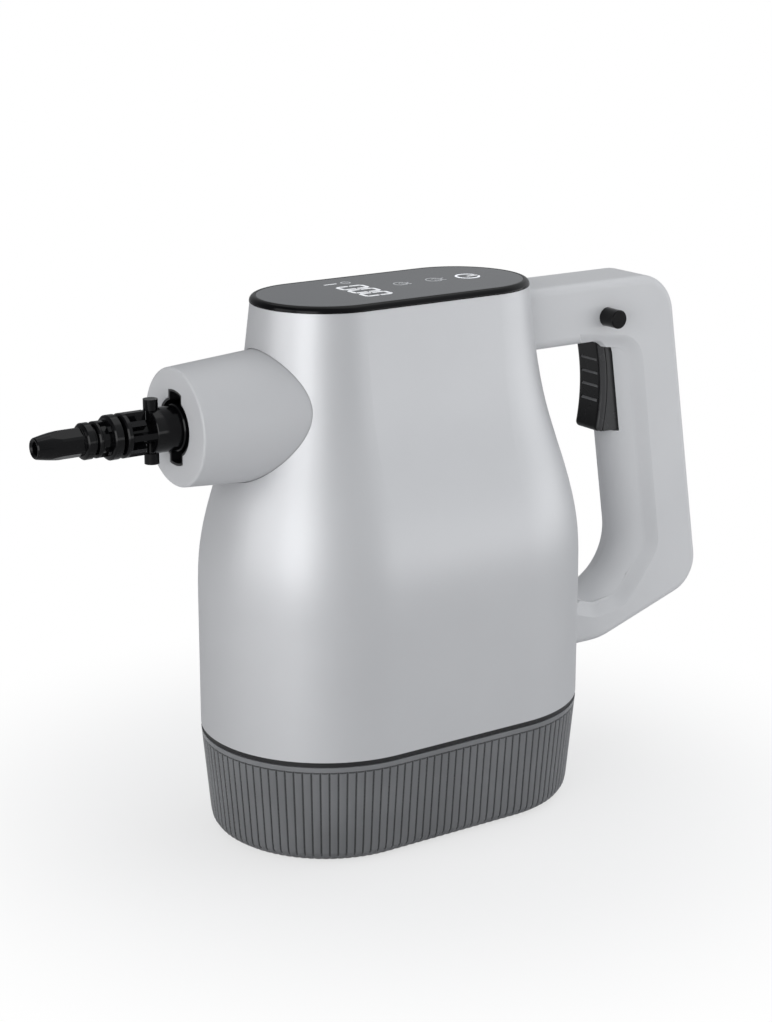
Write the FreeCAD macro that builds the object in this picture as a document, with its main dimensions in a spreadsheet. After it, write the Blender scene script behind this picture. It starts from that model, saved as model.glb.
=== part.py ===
import FreeCAD, Part
import math
import os
import re
import Sketcher
from FreeCAD import Placement, Rotation, Vector

# Hand-held wallpaper steamer, millimetres.
# Origin at the centre of the tank's flat base, +Z up, nose on -X, handle on +X.

doc = FreeCAD.newDocument("WallpaperSteamer")
sheet = doc.addObject("Spreadsheet::Sheet", "Sizes")

# Driving dimensions
SIZES = {
    # Casing sleeve: a stadium section, straight sides plus round ends
    "casing_straight": 73.2,
    "casing_foot_z": 50.9,
    "casing_top_z": 248.2,
    "casing_wall": 2.4,
    "casing_foot_radius": 59.0,
    "casing_shoulder_drop": 138.2,
    "casing_hip_drop": 113.2,
    "casing_hip_inset": 1.1,
    "casing_waist_drop": 83.2,
    "casing_waist_inset": 8.25,
    "casing_neck_drop": 53.2,
    "casing_neck_flare": 8.3,
    "casing_collar_drop": 26.2,
    "casing_collar_flare": 3.25,
    "casing_top_radius": 33.2,
    "fit_gap": 0.3,
    "touch_gap": 0.15,
    "running_gap": 0.05,
    # Control panel
    "bezel_height": 2.9,
    "bezel_overhang": 0.3,
    "bezel_rim": 2.9,
    "bezel_edge": 2.6,
    "bezel_skirt_depth": 9.0,
    "bezel_skirt_wall": 1.8,
    "bezel_shelf": 1.4,
    "bezel_ledge": 13.2,
    "window_thickness": 1.2,
    "window_sink": 0.1,
    "board_side_inset": 11.2,
    "board_end_inset": 16.8,
    "board_thickness": 1.6,
    "board_standoff": 4.4,
    "board_post_radius": 3.0,
    "board_post_end_inset": 23.8,
    "board_post_side_inset": 14.2,
    "display_x": -17.4,
    "display_length": 26.0,
    "display_width": 34.0,
    "display_height": 5.0,
    "touch_end_reach": 6.4,
    "touch_step": 18.4,
    "touch_y": 1.0,
    "touch_pad_radius": 4.0,
    "small_screw_radius": 1.1,
    "small_screw_head": 2.1,
    "small_screw_head_height": 1.5,
    # Nose shroud, socket and steam pipe
    "nose_drop": 47.7,
    "nose_reach": 18.6,
    "nose_face_radius": 26.3,
    "nose_back_radius": 30.2,
    "nose_edge": 1.2,
    "nose_wall": 2.4,
    "nose_front_wall": 4.0,
    "nose_bore_radius": 12.3,
    "keyway_width": 9.4,
    "keyway_reach": 15.8,
    "keyway_shift": 1.1,
    "socket_chamber_radius": 16.4,
    "socket_wall": 1.7,
    "socket_plate": 1.2,
    "socket_lip": 0.9,
    "socket_lip_sink": 0.2,
    "socket_chamber_length": 20.2,
    "socket_flange": 3.0,
    "socket_flange_radius": 24.6,
    "socket_sleeve_radius": 10.4,
    "socket_sleeve_length": 23.0,
    "socket_boss_radius": 3.4,
    "socket_boss_pitch": 20.6,
    "socket_screw_bite": 9.0,
    "seal_thickness": 1.8,
    "steam_pipe_radius": 3.2,
    "steam_pipe_bore": 2.2,
    "steam_pipe_bend": 8.0,
    "steam_riser_inset": 15.0,
    "steam_pipe_end_depth": 30.2,
    # Jet nozzle
    "nozzle_travel": 20.0,
    "nozzle_bore": 3.0,
    "nozzle_reach": 66.8,
    "tip_face_radius": 4.65,
    "tip_length": 21.0,
    "tip_root_radius": 6.3,
    "tip_shoulder_reach": 11.0,
    "tip_swell": 0.15,
    "tip_flat": 5.75,
    "small_ring_radius": 7.95,
    "large_ring_radius": 9.8,
    "nozzle_core_radius": 6.3,
    "nozzle_waist_radius": 5.2,
    "nozzle_rib_radius": 9.4,
    "nozzle_rib_width": 2.6,
    "nozzle_rail_radius": 9.7,
    "nozzle_rail_width": 3.2,
    "nozzle_body_gap": 13.0,
    "stem_radius": 9.9,
    "stem_flare": 10.4,
    "stem_throat": 8.0,
    "spigot_radius": 7.0,
    "spigot_bore": 5.2,
    "spigot_depth": 28.2,
    "bayonet_gap": 11.3,
    "bayonet_inner_radius": 2.3,
    "bayonet_outer_radius": 3.25,
    "bayonet_slot_width": 5.0,
    "bayonet_seat": 4.2,
    "bayonet_step": 9.6,
    "bayonet_reach": 14.3,
    # Water tank
    "tank_inset": 0.1,
    "tank_taper": 3.7,
    "tank_foot_round": 8.3,
    "tank_wall": 2.4,
    "tank_floor": 3.6,
    "tank_inner_round": 5.0,
    "flute_top_drop": 2.2,
    "flute_pitch": 4.07,
    "flute_depth": 0.5,
    # Base deck and tank seal
    "deck_thickness": 2.2,
    "deck_recess": 0.6,
    "deck_rib_height": 5.0,
    "deck_rib_wall": 2.4,
    "seal_land_depth": 6.0,
    "seal_land_wall": 2.4,
    "gasket_width": 1.4,
    "gasket_height": 3.0,
    "gasket_drop": 1.0,
    "port_reach": 10.4,
    "port_radius": 7.0,
    "port_depth": 7.0,
    "intake_radius": 3.5,
    "intake_bore": 1.6,
    "filter_radius": 9.0,
    "filter_height": 12.0,
    "filter_clear": 1.2,
    "deck_post_inset": 21.6,
    "deck_post_thickness": 3.7,
    # Chassis frame
    "chassis_plate": 3.0,
    "chassis_front_reach": 21.4,
    "chassis_rear_reach": 15.4,
    "chassis_width": 44.0,
    "chassis_front_drop": 20.2,
    "chassis_rear_drop": 12.2,
    "shelf_drop": 42.0,
    "bridge_width": 30.0,
    "bridge_rise": 7.5,
    # Pump
    "pump_bracket_thickness": 1.6,
    "pump_bracket_overhang": 13.0,
    "pump_bracket_width": 38.0,
    "pump_mount_radius": 5.0,
    "pump_mount_height": 5.0,
    "pump_inset": 32.0,
    "pump_end_room": 74.0,
    "pump_width": 36.0,
    "pump_height": 34.0,
    "pump_nose_radius": 7.0,
    "pump_nose_length": 5.0,
    "barb_radius": 2.4,
    "barb_length": 6.0,
    "hose_radius": 4.0,
    "hose_bore": 2.45,
    "hose_bend": 9.0,
    "valve_radius": 6.5,
    "valve_length": 12.0,
    # Boiler
    "boiler_drop": 40.5,
    "boiler_radius": 27.0,
    "boiler_front_inset": 13.0,
    "boiler_rear_inset": 20.0,
    "boiler_flange_radius": 30.0,
    "boiler_flange": 4.0,
    "boiler_cover_thickness": 4.0,
    "boiler_land_rise": 28.0,
    "boiler_land_width": 20.0,
    "boiler_screw_pitch": 25.0,
    "boiler_screw_radius": 1.95,
    "boiler_screw_head": 3.3,
    "boiler_screw_head_height": 2.4,
    "boiler_screw_bite": 9.0,
    "heater_radius": 3.2,
    "heater_drop": 12.0,
    "heater_spread": 11.0,
    "heater_overrun": 6.0,
    "terminal_length": 6.0,
    "terminal_width": 4.8,
    "terminal_thickness": 0.8,
    "bracket_thickness": 1.6,
    "bracket_width": 40.0,
    "bracket_height": 26.0,
    "thermostat_radius": 8.0,
    "thermostat_height": 6.0,
    "thermostat_inset": 20.0,
    "fuse_radius": 2.5,
    "fuse_length": 14.0,
    "fuse_offset": 6.5,
    "inlet_rise": 12.0,
    # Handle loop
    "handle_width": 32.0,
    "handle_top_drop": 4.0,
    "handle_rear_top_reach": 58.7,
    "handle_rear_low_reach": 83.9,
    "handle_rear_low_rise": 33.1,
    "handle_top_round": 21.0,
    "handle_low_round": 18.0,
    "handle_chin_reach": 20.6,
    "handle_chin_round": 35.0,
    "handle_bottom_rise": 12.4,
    "handle_edge": 4.0,
    "loop_top_drop": 29.6,
    "loop_top_reach": 21.6,
    "loop_top_round": 11.0,
    "loop_low_reach": 37.8,
    "loop_low_rise": 51.7,
    "loop_low_round": 25.0,
    "loop_heel_reach": 9.8,
    "loop_bottom_rise": 32.1,
    "loop_heel_round": 35.0,
    "loop_edge": 5.0,
    "loop_corner_edge": 11.0,
    "grip_width": 24.0,
    "grip_round": 11.9,
    "scoop_slope_width": 7.6,
    "scoop_start_drop": 27.4,
    "scoop_top_drop": 31.2,
    "scoop_top_reach": 37.4,
    "scoop_top_round": 13.0,
    "scoop_low_reach": 53.2,
    "scoop_low_rise": 55.4,
    "scoop_low_round": 14.0,
    "scoop_heel_reach": 34.2,
    "scoop_heel_rise": 30.4,
    "scoop_heel_round": 15.0,
    "scoop_toe_reach": 16.4,
    "scoop_toe_rise": 27.5,
    "scoop_toe_round": 10.0,
    "scoop_end_reach": 4.4,
    "scoop_end_rise": 31.5,
    "handle_wall": 2.6,
    "handle_seam": 0.04,
    "tenon_width": 22.0,
    "top_tenon_height": 19.6,
    "top_tenon_drop": 5.6,
    "low_tenon_rise": 15.7,
    "low_tenon_height": 13.6,
    "plug_length": 8.0,
    "tenon_screw_radius": 1.5,
    "tenon_screw_head": 3.0,
    "tenon_screw_head_height": 2.4,
    "tenon_screw_length": 14.0,
    "tenon_screw_y": 7.5,
    "chassis_screw_y": 14.0,
    "chassis_foot_length": 12.0,
    "chassis_foot_height": 16.0,
    "nose_screw_bite": 7.0,
    "handle_boss_radius": 4.0,
    "handle_screw_radius": 1.5,
    "handle_screw_head": 2.9,
    "handle_screw_head_height": 2.2,
    "handle_screw_sink": 3.0,
    "handle_screw_tip_gap": 5.0,
    "neck_boss_inset": 5.6,
    "neck_boss_drop": 14.7,
    "crown_boss_reach": 55.9,
    "crown_boss_drop": 19.7,
    "heel_boss_reach": 70.4,
    "heel_boss_rise": 45.1,
    "toe_boss_inset": 18.5,
    "toe_boss_rise": 28.1,
    # Trigger
    "trigger_width": 18.4,
    "trigger_pivot_reach": 25.9,
    "trigger_pivot_drop": 26.2,
    "trigger_pin_radius": 1.5,
    "trigger_eye_radius": 4.0,
    "trigger_top_rise": 0.6,
    "trigger_top_reach": 18.2,
    "trigger_mid_reach": 21.7,
    "trigger_low_reach": 19.9,
    "trigger_height": 46.9,
    "trigger_back_reach": 34.9,
    "trigger_pad": 3.2,
    "trigger_edge": 2.6,
    "trigger_step": 0.7,
    "trigger_groove": 0.9,
    "trigger_groove_fall": 1.3,
    "trigger_seam": 1.0,
    "trigger_seam_depth": 0.8,
    "trigger_skirt": 2.4,
    "trigger_side_gap": 0.4,
    "trigger_slot_drop": 0.9,
    "finger_drop": 28.0,
    "finger_height": 7.0,
    "finger_length": 6.3,
    "spring_coil_radius": 3.0,
    "spring_coil_width": 5.0,
    "spring_leg_length": 14.0,
    "spring_slot_margin": 14.0,
    # Switch
    "switch_reach": 45.9,
    "switch_length": 10.4,
    "switch_height": 20.0,
    "switch_width": 10.2,
    "switch_drop": 32.0,
    "plunger_radius": 1.4,
    "plunger_reach": 4.4,
    "plunger_depth": 4.0,
    "plunger_travel": 4.3,
    # Lock button
    "lock_reach": 18.3,
    "lock_drop": 17.3,
    "lock_radius": 4.5,
    "lock_proud": 9.3,
    "lock_travel": 8.3,
    "lock_waist": 3.2,
    "lock_waist_width": 14.0,
    "lock_gap": 0.1,
    "detent_thickness": 0.5,
    "detent_width": 6.0,
    # Cord inlet and wiring
    "gland_reach": 58.4,
    "gland_radius": 7.0,
    "gland_bore": 4.5,
    "gland_flange": 9.0,
    "gland_flange_height": 2.0,
    "clamp_length": 20.0,
    "clamp_width": 16.0,
    "clamp_thickness": 3.0,
    "block_length": 14.0,
    "block_width": 16.0,
    "block_height": 9.0,
    "block_reach": 24.0,
    "loom_radius": 2.2,
    "loom_bend": 9.0,
    "switch_loom_drop": 8.8,
}

# Places and sizes that follow from the driving dimensions
FOLLOWING = {
    "half_straight": "casing_straight / 2",
    "casing_end_x": "casing_straight / 2 + casing_foot_radius",
    "casing_shoulder_z": "casing_top_z - casing_shoulder_drop",
    "casing_hip_z": "casing_top_z - casing_hip_drop",
    "casing_waist_z": "casing_top_z - casing_waist_drop",
    "casing_neck_z": "casing_top_z - casing_neck_drop",
    "casing_collar_z": "casing_top_z - casing_collar_drop",
    "casing_hip_radius": "casing_foot_radius - casing_hip_inset",
    "casing_waist_radius": "casing_foot_radius - casing_waist_inset",
    "casing_neck_radius": "casing_top_radius + casing_neck_flare",
    "casing_collar_radius": "casing_top_radius + casing_collar_flare",
    "board_width": "2 * (casing_top_radius - board_side_inset)",
    "board_length": "2 * (half_straight + casing_top_radius - board_end_inset)",
    "board_post_x": "half_straight + casing_top_radius - board_post_end_inset",
    "board_post_y": "casing_top_radius - board_post_side_inset",
    "touch_end_x": "half_straight + touch_end_reach",
    "deck_bottom_z": "casing_foot_z - deck_thickness",
    "tank_rim_z": "deck_bottom_z - fit_gap",
    "tank_top_radius": "casing_foot_radius - tank_inset",
    "tank_foot_radius": "tank_top_radius - tank_taper",
    "flute_top_z": "tank_rim_z - flute_top_drop",
    "gasket_low_z": "deck_bottom_z - gasket_drop - gasket_height",
    "gasket_share": "(gasket_low_z - tank_foot_round) / (tank_rim_z - tank_foot_round)",
    "gasket_radius": "tank_foot_radius + tank_taper * gasket_share - tank_wall - fit_gap",
    "port_x": "-half_straight - port_reach",
    "deck_post_x": "casing_end_x - deck_post_inset",
    "chassis_front_x": "-half_straight - chassis_front_reach",
    "chassis_rear_x": "half_straight + chassis_rear_reach",
    "chassis_front_top": "casing_top_z - chassis_front_drop",
    "chassis_rear_top": "casing_top_z - chassis_rear_drop",
    "nose_z": "casing_top_z - nose_drop",
    "nose_face_x": "-casing_end_x - nose_reach",
    "bridge_z": "nose_z + bridge_rise",
    "boiler_z": "nose_z - boiler_drop",
    "boiler_front_x": "chassis_front_x + boiler_front_inset",
    "boiler_rear_x": "chassis_rear_x - boiler_rear_inset",
    "boiler_land_z": "boiler_z + boiler_land_rise",
    "shelf_z": "boiler_z - shelf_drop",
    "steam_riser_x": "boiler_front_x + steam_riser_inset",
    "steam_pipe_end_x": "nose_face_x + steam_pipe_end_depth",
    "thermostat_x": "boiler_rear_x - thermostat_inset",
    "fuse_x": "steam_riser_x + fuse_offset",
    "pump_x": "chassis_front_x + pump_inset",
    "pump_length": "chassis_rear_x - chassis_front_x - pump_end_room",
    "pump_bracket_length": "pump_length + 2 * pump_bracket_overhang",
    "tip_face_x": "nose_face_x - nozzle_reach",
    "nozzle_body_end_x": "nose_face_x - nozzle_body_gap",
    "spigot_end_x": "nose_face_x + spigot_depth",
    "bayonet_x": "nose_face_x - bayonet_gap",
    "handle_top_z": "casing_top_z - handle_top_drop",
    "handle_bottom_z": "casing_foot_z + handle_bottom_rise",
    "handle_rear_top_x": "casing_end_x + handle_rear_top_reach",
    "handle_rear_low_x": "casing_end_x + handle_rear_low_reach",
    "handle_rear_low_z": "casing_foot_z + handle_rear_low_rise",
    "handle_chin_x": "casing_end_x + handle_chin_reach",
    "loop_top_x": "casing_end_x + loop_top_reach",
    "loop_top_z": "handle_top_z - loop_top_drop",
    "loop_low_x": "casing_end_x + loop_low_reach",
    "loop_low_z": "casing_foot_z + loop_low_rise",
    "loop_heel_x": "casing_end_x + loop_heel_reach",
    "loop_bottom_z": "casing_foot_z + loop_bottom_rise",
    "scoop_top_x": "casing_end_x + scoop_top_reach",
    "scoop_start_z": "handle_top_z - scoop_start_drop",
    "scoop_top_z": "handle_top_z - scoop_top_drop",
    "scoop_low_x": "casing_end_x + scoop_low_reach",
    "scoop_low_z": "casing_foot_z + scoop_low_rise",
    "scoop_heel_x": "casing_end_x + scoop_heel_reach",
    "scoop_heel_z": "casing_foot_z + scoop_heel_rise",
    "scoop_toe_x": "casing_end_x + scoop_toe_reach",
    "scoop_toe_z": "casing_foot_z + scoop_toe_rise",
    "scoop_end_x": "casing_end_x + scoop_end_reach",
    "scoop_end_z": "casing_foot_z + scoop_end_rise",
    "top_tenon_high_z": "handle_top_z - top_tenon_drop",
    "top_tenon_low_z": "top_tenon_high_z - top_tenon_height",
    "low_tenon_low_z": "casing_foot_z + low_tenon_rise",
    "low_tenon_high_z": "low_tenon_low_z + low_tenon_height",
    "neck_boss_x": "casing_end_x - neck_boss_inset",
    "neck_boss_z": "handle_top_z - neck_boss_drop",
    "crown_boss_x": "casing_end_x + crown_boss_reach",
    "crown_boss_z": "handle_top_z - crown_boss_drop",
    "heel_boss_x": "casing_end_x + heel_boss_reach",
    "heel_boss_z": "casing_foot_z + heel_boss_rise",
    "toe_boss_x": "gland_x - toe_boss_inset",
    "toe_boss_z": "casing_foot_z + toe_boss_rise",
    "trigger_pivot_x": "casing_end_x + trigger_pivot_reach",
    "trigger_pivot_z": "handle_top_z - trigger_pivot_drop",
    "trigger_top_x": "casing_end_x + trigger_top_reach",
    "trigger_top_z": "loop_top_z + trigger_top_rise",
    "trigger_mid_x": "casing_end_x + trigger_mid_reach",
    "trigger_low_x": "casing_end_x + trigger_low_reach",
    "trigger_low_z": "trigger_top_z - trigger_height",
    "trigger_back_x": "casing_end_x + trigger_back_reach",
    "finger_z": "trigger_pivot_z - finger_drop",
    "switch_x": "casing_end_x + switch_reach",
    "switch_z": "trigger_pivot_z - switch_drop",
    "lock_x": "casing_end_x + lock_reach",
    "lock_z": "handle_top_z - lock_drop",
    "switch_loom_z": "handle_top_z - switch_loom_drop",
    "gland_x": "casing_end_x + gland_reach",
    "block_x": "casing_end_x + block_reach",
}

rows = list(SIZES.items()) + [(alias, "=" + rule) for alias, rule in FOLLOWING.items()]
for row, (alias, value) in enumerate(rows, 1):
    sheet.set("A%d" % row, alias)
    sheet.setAlias("B%d" % row, alias)
    sheet.set("B%d" % row, str(value))
doc.recompute()


class Values:
    def __getattr__(self, alias):
        return float(sheet.get(alias))


v = Values()
PIECES = {}
X_AXIS = Vector(1, 0, 0)
Y_AXIS = Vector(0, 1, 0)
Z_AXIS = Vector(0, 0, 1)


def bound(text):
    # writes a size expression with every alias taken from the sheet
    return re.sub(r"[a-z][a-z_]+", lambda m: "Sizes." + m.group(0), text)


def piece(label, obj):
    obj.Label = label
    PIECES[label] = obj
    return obj


# Primitives whose sizes and places are bound to the sheet
def place(obj, at, turn=None):
    if turn is not None:
        obj.Placement = Placement(Vector(), turn)
    for letter, text in zip("xyz", at):
        obj.setExpression("Placement.Base." + letter, bound(text))
    return obj


def box(name, length, width, height, at):
    obj = doc.addObject("Part::Box", name)
    obj.setExpression("Length", bound(length))
    obj.setExpression("Width", bound(width))
    obj.setExpression("Height", bound(height))
    return place(obj, at)


def rod(name, radius, length, at, along="z"):
    turns = {
        "x": Rotation(Y_AXIS, 90),
        "y": Rotation(X_AXIS, -90),
        "z": Rotation(),
        "-y": Rotation(X_AXIS, 90),
        "-x": Rotation(Y_AXIS, -90),
        "-z": Rotation(X_AXIS, 180),
    }
    obj = doc.addObject("Part::Cylinder", name)
    obj.setExpression("Radius", bound(radius))
    obj.setExpression("Height", bound(length))
    return place(obj, at, turns[along])


def fuse(name, members):
    obj = doc.addObject("Part::MultiFuse", name)
    obj.Shapes = members
    obj.Refine = True
    return obj


def cut(name, base, tools):
    obj = doc.addObject("Part::Cut", name)
    obj.Base = base
    obj.Tool = tools[0] if len(tools) == 1 else fuse(name + "_tools", tools)
    obj.Refine = True
    return obj


def tube(name, radius, bore, length, at, along="z"):
    outer = rod(name + "_outer", radius, length, at, along)
    inner = rod(name + "_inner", bore, length, at, along)
    return cut(name, outer, [inner])


def shaped(label, shape):
    obj = doc.addObject("Part::Feature", label)
    obj.Shape = shape
    return piece(label, obj)


# Stadium sketches in bodies
def origin_plane(body, role):
    for feature in body.Origin.OriginFeatures:
        if feature.Role == role:
            return feature
    raise ValueError(role)


def add_stadium(sketch, straight, radius):
    first = sketch.GeometryCount
    half, r = 36.0, 30.0
    sketch.addGeometry(Part.LineSegment(Vector(-half, r, 0), Vector(half, r, 0)), False)
    right = Part.Circle(Vector(half, 0, 0), Z_AXIS, r)
    sketch.addGeometry(Part.ArcOfCircle(right, -math.pi / 2, math.pi / 2), False)
    sketch.addGeometry(Part.LineSegment(Vector(half, -r, 0), Vector(-half, -r, 0)), False)
    left = Part.Circle(Vector(-half, 0, 0), Z_AXIS, r)
    sketch.addGeometry(Part.ArcOfCircle(left, math.pi / 2, 3 * math.pi / 2), False)
    top, east, low, west = first, first + 1, first + 2, first + 3
    add = sketch.addConstraint
    add(Sketcher.Constraint("Tangent", top, 2, east, 2))
    add(Sketcher.Constraint("Tangent", east, 1, low, 1))
    add(Sketcher.Constraint("Tangent", low, 2, west, 2))
    add(Sketcher.Constraint("Tangent", west, 1, top, 1))
    add(Sketcher.Constraint("Horizontal", top))
    add(Sketcher.Constraint("Equal", east, west))
    add(Sketcher.Constraint("Symmetric", east, 3, west, 3, -1, 1))
    span = add(Sketcher.Constraint("DistanceX", west, 3, east, 3, 2 * half))
    size = add(Sketcher.Constraint("Radius", east, r))
    sketch.setExpression("Constraints[%d]" % span, bound(straight))
    sketch.setExpression("Constraints[%d]" % size, bound(radius))


def new_body(name):
    return doc.addObject("PartDesign::Body", name)


def flat_sketch(body, name, height):
    sketch = body.newObject("Sketcher::SketchObject", name)
    sketch.AttachmentSupport = (origin_plane(body, "XY_Plane"), [""])
    sketch.MapMode = "FlatFace"
    sketch.setExpression("AttachmentOffset.Base.z", bound(height))
    return sketch


def pad(body, name, sketch, length):
    feature = body.newObject("PartDesign::Pad", name)
    feature.Profile = sketch
    feature.setExpression("Length", bound(length))
    return feature


def pocket(body, name, sketch, depth, upwards):
    feature = body.newObject("PartDesign::Pocket", name)
    feature.Profile = sketch
    feature.setExpression("Length", bound(depth))
    feature.Reversed = upwards
    return feature


def stadium_pad(body, name, height, length, radius, bore=None):
    sketch = flat_sketch(body, name + "_sketch", height)
    add_stadium(sketch, "casing_straight", radius)
    if bore is not None:
        add_stadium(sketch, "casing_straight", bore)
    return pad(body, name, sketch, length)


# Casing profile, radius against height
def casing_curve(extra=0.0):
    stations = [
        (v.casing_foot_radius, v.casing_shoulder_z),
        (v.casing_hip_radius, v.casing_hip_z),
        (v.casing_waist_radius, v.casing_waist_z),
        (v.casing_neck_radius, v.casing_neck_z),
        (v.casing_collar_radius, v.casing_collar_z),
        (v.casing_top_radius, v.casing_top_z),
    ]
    curve = Part.BSplineCurve()
    lean = (v.casing_top_radius - v.casing_collar_radius) / (v.casing_top_z - v.casing_collar_z)
    curve.interpolate(
        Points=[Vector(r, 0, z) for r, z in stations],
        InitialTangent=Vector(0, 0, 1),
        FinalTangent=Vector(lean, 0, 1),
    )
    if extra == 0.0:
        return curve
    moved = []
    for step in range(25):
        at = curve.FirstParameter + (curve.LastParameter - curve.FirstParameter) * step / 24
        along = curve.tangent(at)[0]
        moved.append(curve.value(at) + Vector(along.z, 0, -along.x) * extra)
    shifted = Part.BSplineCurve()
    shifted.interpolate(
        Points=moved, InitialTangent=Vector(0, 0, 1), FinalTangent=Vector(lean, 0, 1)
    )
    return shifted


def casing_radius(height):
    if height <= v.casing_shoulder_z:
        return v.casing_foot_radius
    curve = casing_curve()
    low, high = curve.FirstParameter, curve.LastParameter
    for _ in range(50):
        middle = (low + high) / 2
        if curve.value(middle).z < height:
            low = middle
        else:
            high = middle
    return curve.value(low).x


def stadium_turn(face):
    # turns a profile drawn at Y = 0, radius along X, into the whole stadium body
    half = v.casing_straight / 2
    quarter = face.copy()
    quarter.rotate(Vector(), Z_AXIS, -90)
    right = quarter.revolve(Vector(), Z_AXIS, 180)
    right.translate(Vector(half, 0, 0))
    left = right.mirror(Vector(), X_AXIS)
    side = quarter.copy()
    side.translate(Vector(-half, 0, 0))
    near = side.extrude(Vector(v.casing_straight, 0, 0))
    far = near.mirror(Vector(), Y_AXIS)
    return right.fuse([left, near, far]).removeSplitter()


def segment(a, b):
    return Part.LineSegment(a, b).toShape()


def casing_solid(extra, foot, top_extra=0.0):
    curve = casing_curve(extra)
    start = curve.value(curve.FirstParameter)
    end = curve.value(curve.LastParameter)
    foot_point = Vector(start.x, 0, foot)
    high = Vector(end.x, 0, end.z + top_extra)
    edges = [segment(foot_point, start), curve.toShape()]
    if top_extra:
        edges.append(segment(end, high))
    edges.append(segment(high, Vector(0, 0, high.z)))
    edges.append(segment(Vector(0, 0, high.z), Vector(0, 0, foot)))
    edges.append(segment(Vector(0, 0, foot), foot_point))
    return stadium_turn(Part.Face(Part.Wire(edges)))


def make_casing():
    outer = casing_curve()
    inner = casing_curve(-v.casing_wall)
    o0, o1 = outer.value(outer.FirstParameter), outer.value(outer.LastParameter)
    i0, i1 = inner.value(inner.FirstParameter), inner.value(inner.LastParameter)
    foot_out = Vector(o0.x, 0, v.casing_foot_z)
    foot_in = Vector(i0.x, 0, v.casing_foot_z)
    wire = Part.Wire([
        segment(foot_out, o0),
        outer.toShape(),
        segment(o1, i1),
        inner.toShape(),
        segment(i0, foot_in),
        segment(foot_in, foot_out),
    ])
    sleeve = stadium_turn(Part.Face(wire))
    reach = 4 * v.casing_foot_radius
    level = Part.makeBox(2 * reach, 2 * reach, reach, Vector(-reach, -reach, v.casing_top_z))
    tools = [level, nose_cone(v.fit_gap, v.chassis_front_x)]
    tools.append(tenon_window(v.top_tenon_low_z, v.top_tenon_high_z))
    tools.append(tenon_window(v.low_tenon_low_z, v.low_tenon_high_z))
    shaped("body_casing", sleeve.cut(tools))


def tenon_window(low, high):
    gap = v.fit_gap
    width = v.tenon_width + 2 * gap
    reach = v.casing_foot_radius * 2
    corner = Vector(v.casing_straight / 2, -width / 2, low - gap)
    return Part.makeBox(reach, width, high - low + 2 * gap, corner)


# Control panel
def make_bezel():
    body = new_body("bezel_body")
    flange = "casing_top_radius + bezel_overhang"
    plug = "casing_top_radius - casing_wall - fit_gap"
    stadium_pad(body, "bezel_flange", "casing_top_z", "bezel_height", flange)
    stadium_pad(
        body, "bezel_skirt", "casing_top_z - bezel_skirt_depth", "bezel_skirt_depth",
        plug, plug + " - bezel_skirt_wall",
    )
    stadium_pad(body, "bezel_ledge", "casing_top_z - bezel_shelf", "bezel_shelf", plug)
    opening = flat_sketch(body, "bezel_opening_sketch", "casing_top_z - bezel_shelf")
    add_stadium(opening, "casing_straight", flange + " - bezel_rim - bezel_ledge")
    pocket(body, "bezel_opening", opening, "bezel_shelf + bezel_height", True)
    seat = flat_sketch(body, "bezel_seat_sketch", "casing_top_z + bezel_height - window_thickness - window_sink")
    add_stadium(seat, "casing_straight", flange + " - bezel_rim")
    pocket(body, "bezel_seat", seat, "window_thickness + bezel_height", True)
    doc.recompute()
    tip = body.Tip
    top = v.casing_top_z + v.bezel_height
    edges = []
    for number, edge in enumerate(tip.Shape.Edges, 1):
        box_ = edge.BoundBox
        outside = box_.YMax > v.casing_top_radius - 0.01 or box_.YMin < 0.01 - v.casing_top_radius
        outside = outside or abs(box_.XMax) > v.casing_straight / 2 + v.casing_top_radius - 0.01
        outside = outside or abs(box_.XMin) > v.casing_straight / 2 + v.casing_top_radius - 0.01
        if abs(box_.ZMin - top) < 0.001 and abs(box_.ZMax - top) < 0.001 and outside:
            edges.append("Edge%d" % number)
    rounding = body.newObject("PartDesign::Fillet", "bezel_rounding")
    rounding.Base = (tip, edges)
    rounding.setExpression("Radius", bound("bezel_edge"))
    posts = []
    for n, (sx, sy) in enumerate(((1, 1), (1, -1), (-1, 1), (-1, -1))):
        x = "%d * board_post_x" % sx
        y = "%d * board_post_y" % sy
        low = "casing_top_z - bezel_shelf - board_standoff"
        posts.append(rod("bezel_post%d" % n, "board_post_radius", "board_standoff + 0.4", (x, y, low)))
    whole = fuse("bezel_whole", [body] + posts)
    holes = []
    for n, (sx, sy) in enumerate(((1, 1), (1, -1), (-1, 1), (-1, -1))):
        x = "%d * board_post_x" % sx
        y = "%d * board_post_y" % sy
        low = "casing_top_z - bezel_shelf - board_standoff"
        holes.append(rod(
            "bezel_hole%d" % n, "small_screw_radius + running_gap", "board_standoff", (x, y, low),
        ))
    piece("control_panel_bezel", cut("bezel_cut", whole, holes))


def make_window():
    body = new_body("window_body")
    radius = "casing_top_radius + bezel_overhang - bezel_rim - touch_gap"
    low = "casing_top_z + bezel_height - window_thickness - window_sink"
    stadium_pad(body, "window_pad", low, "window_thickness", radius)
    piece("panel_window", body)


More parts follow.
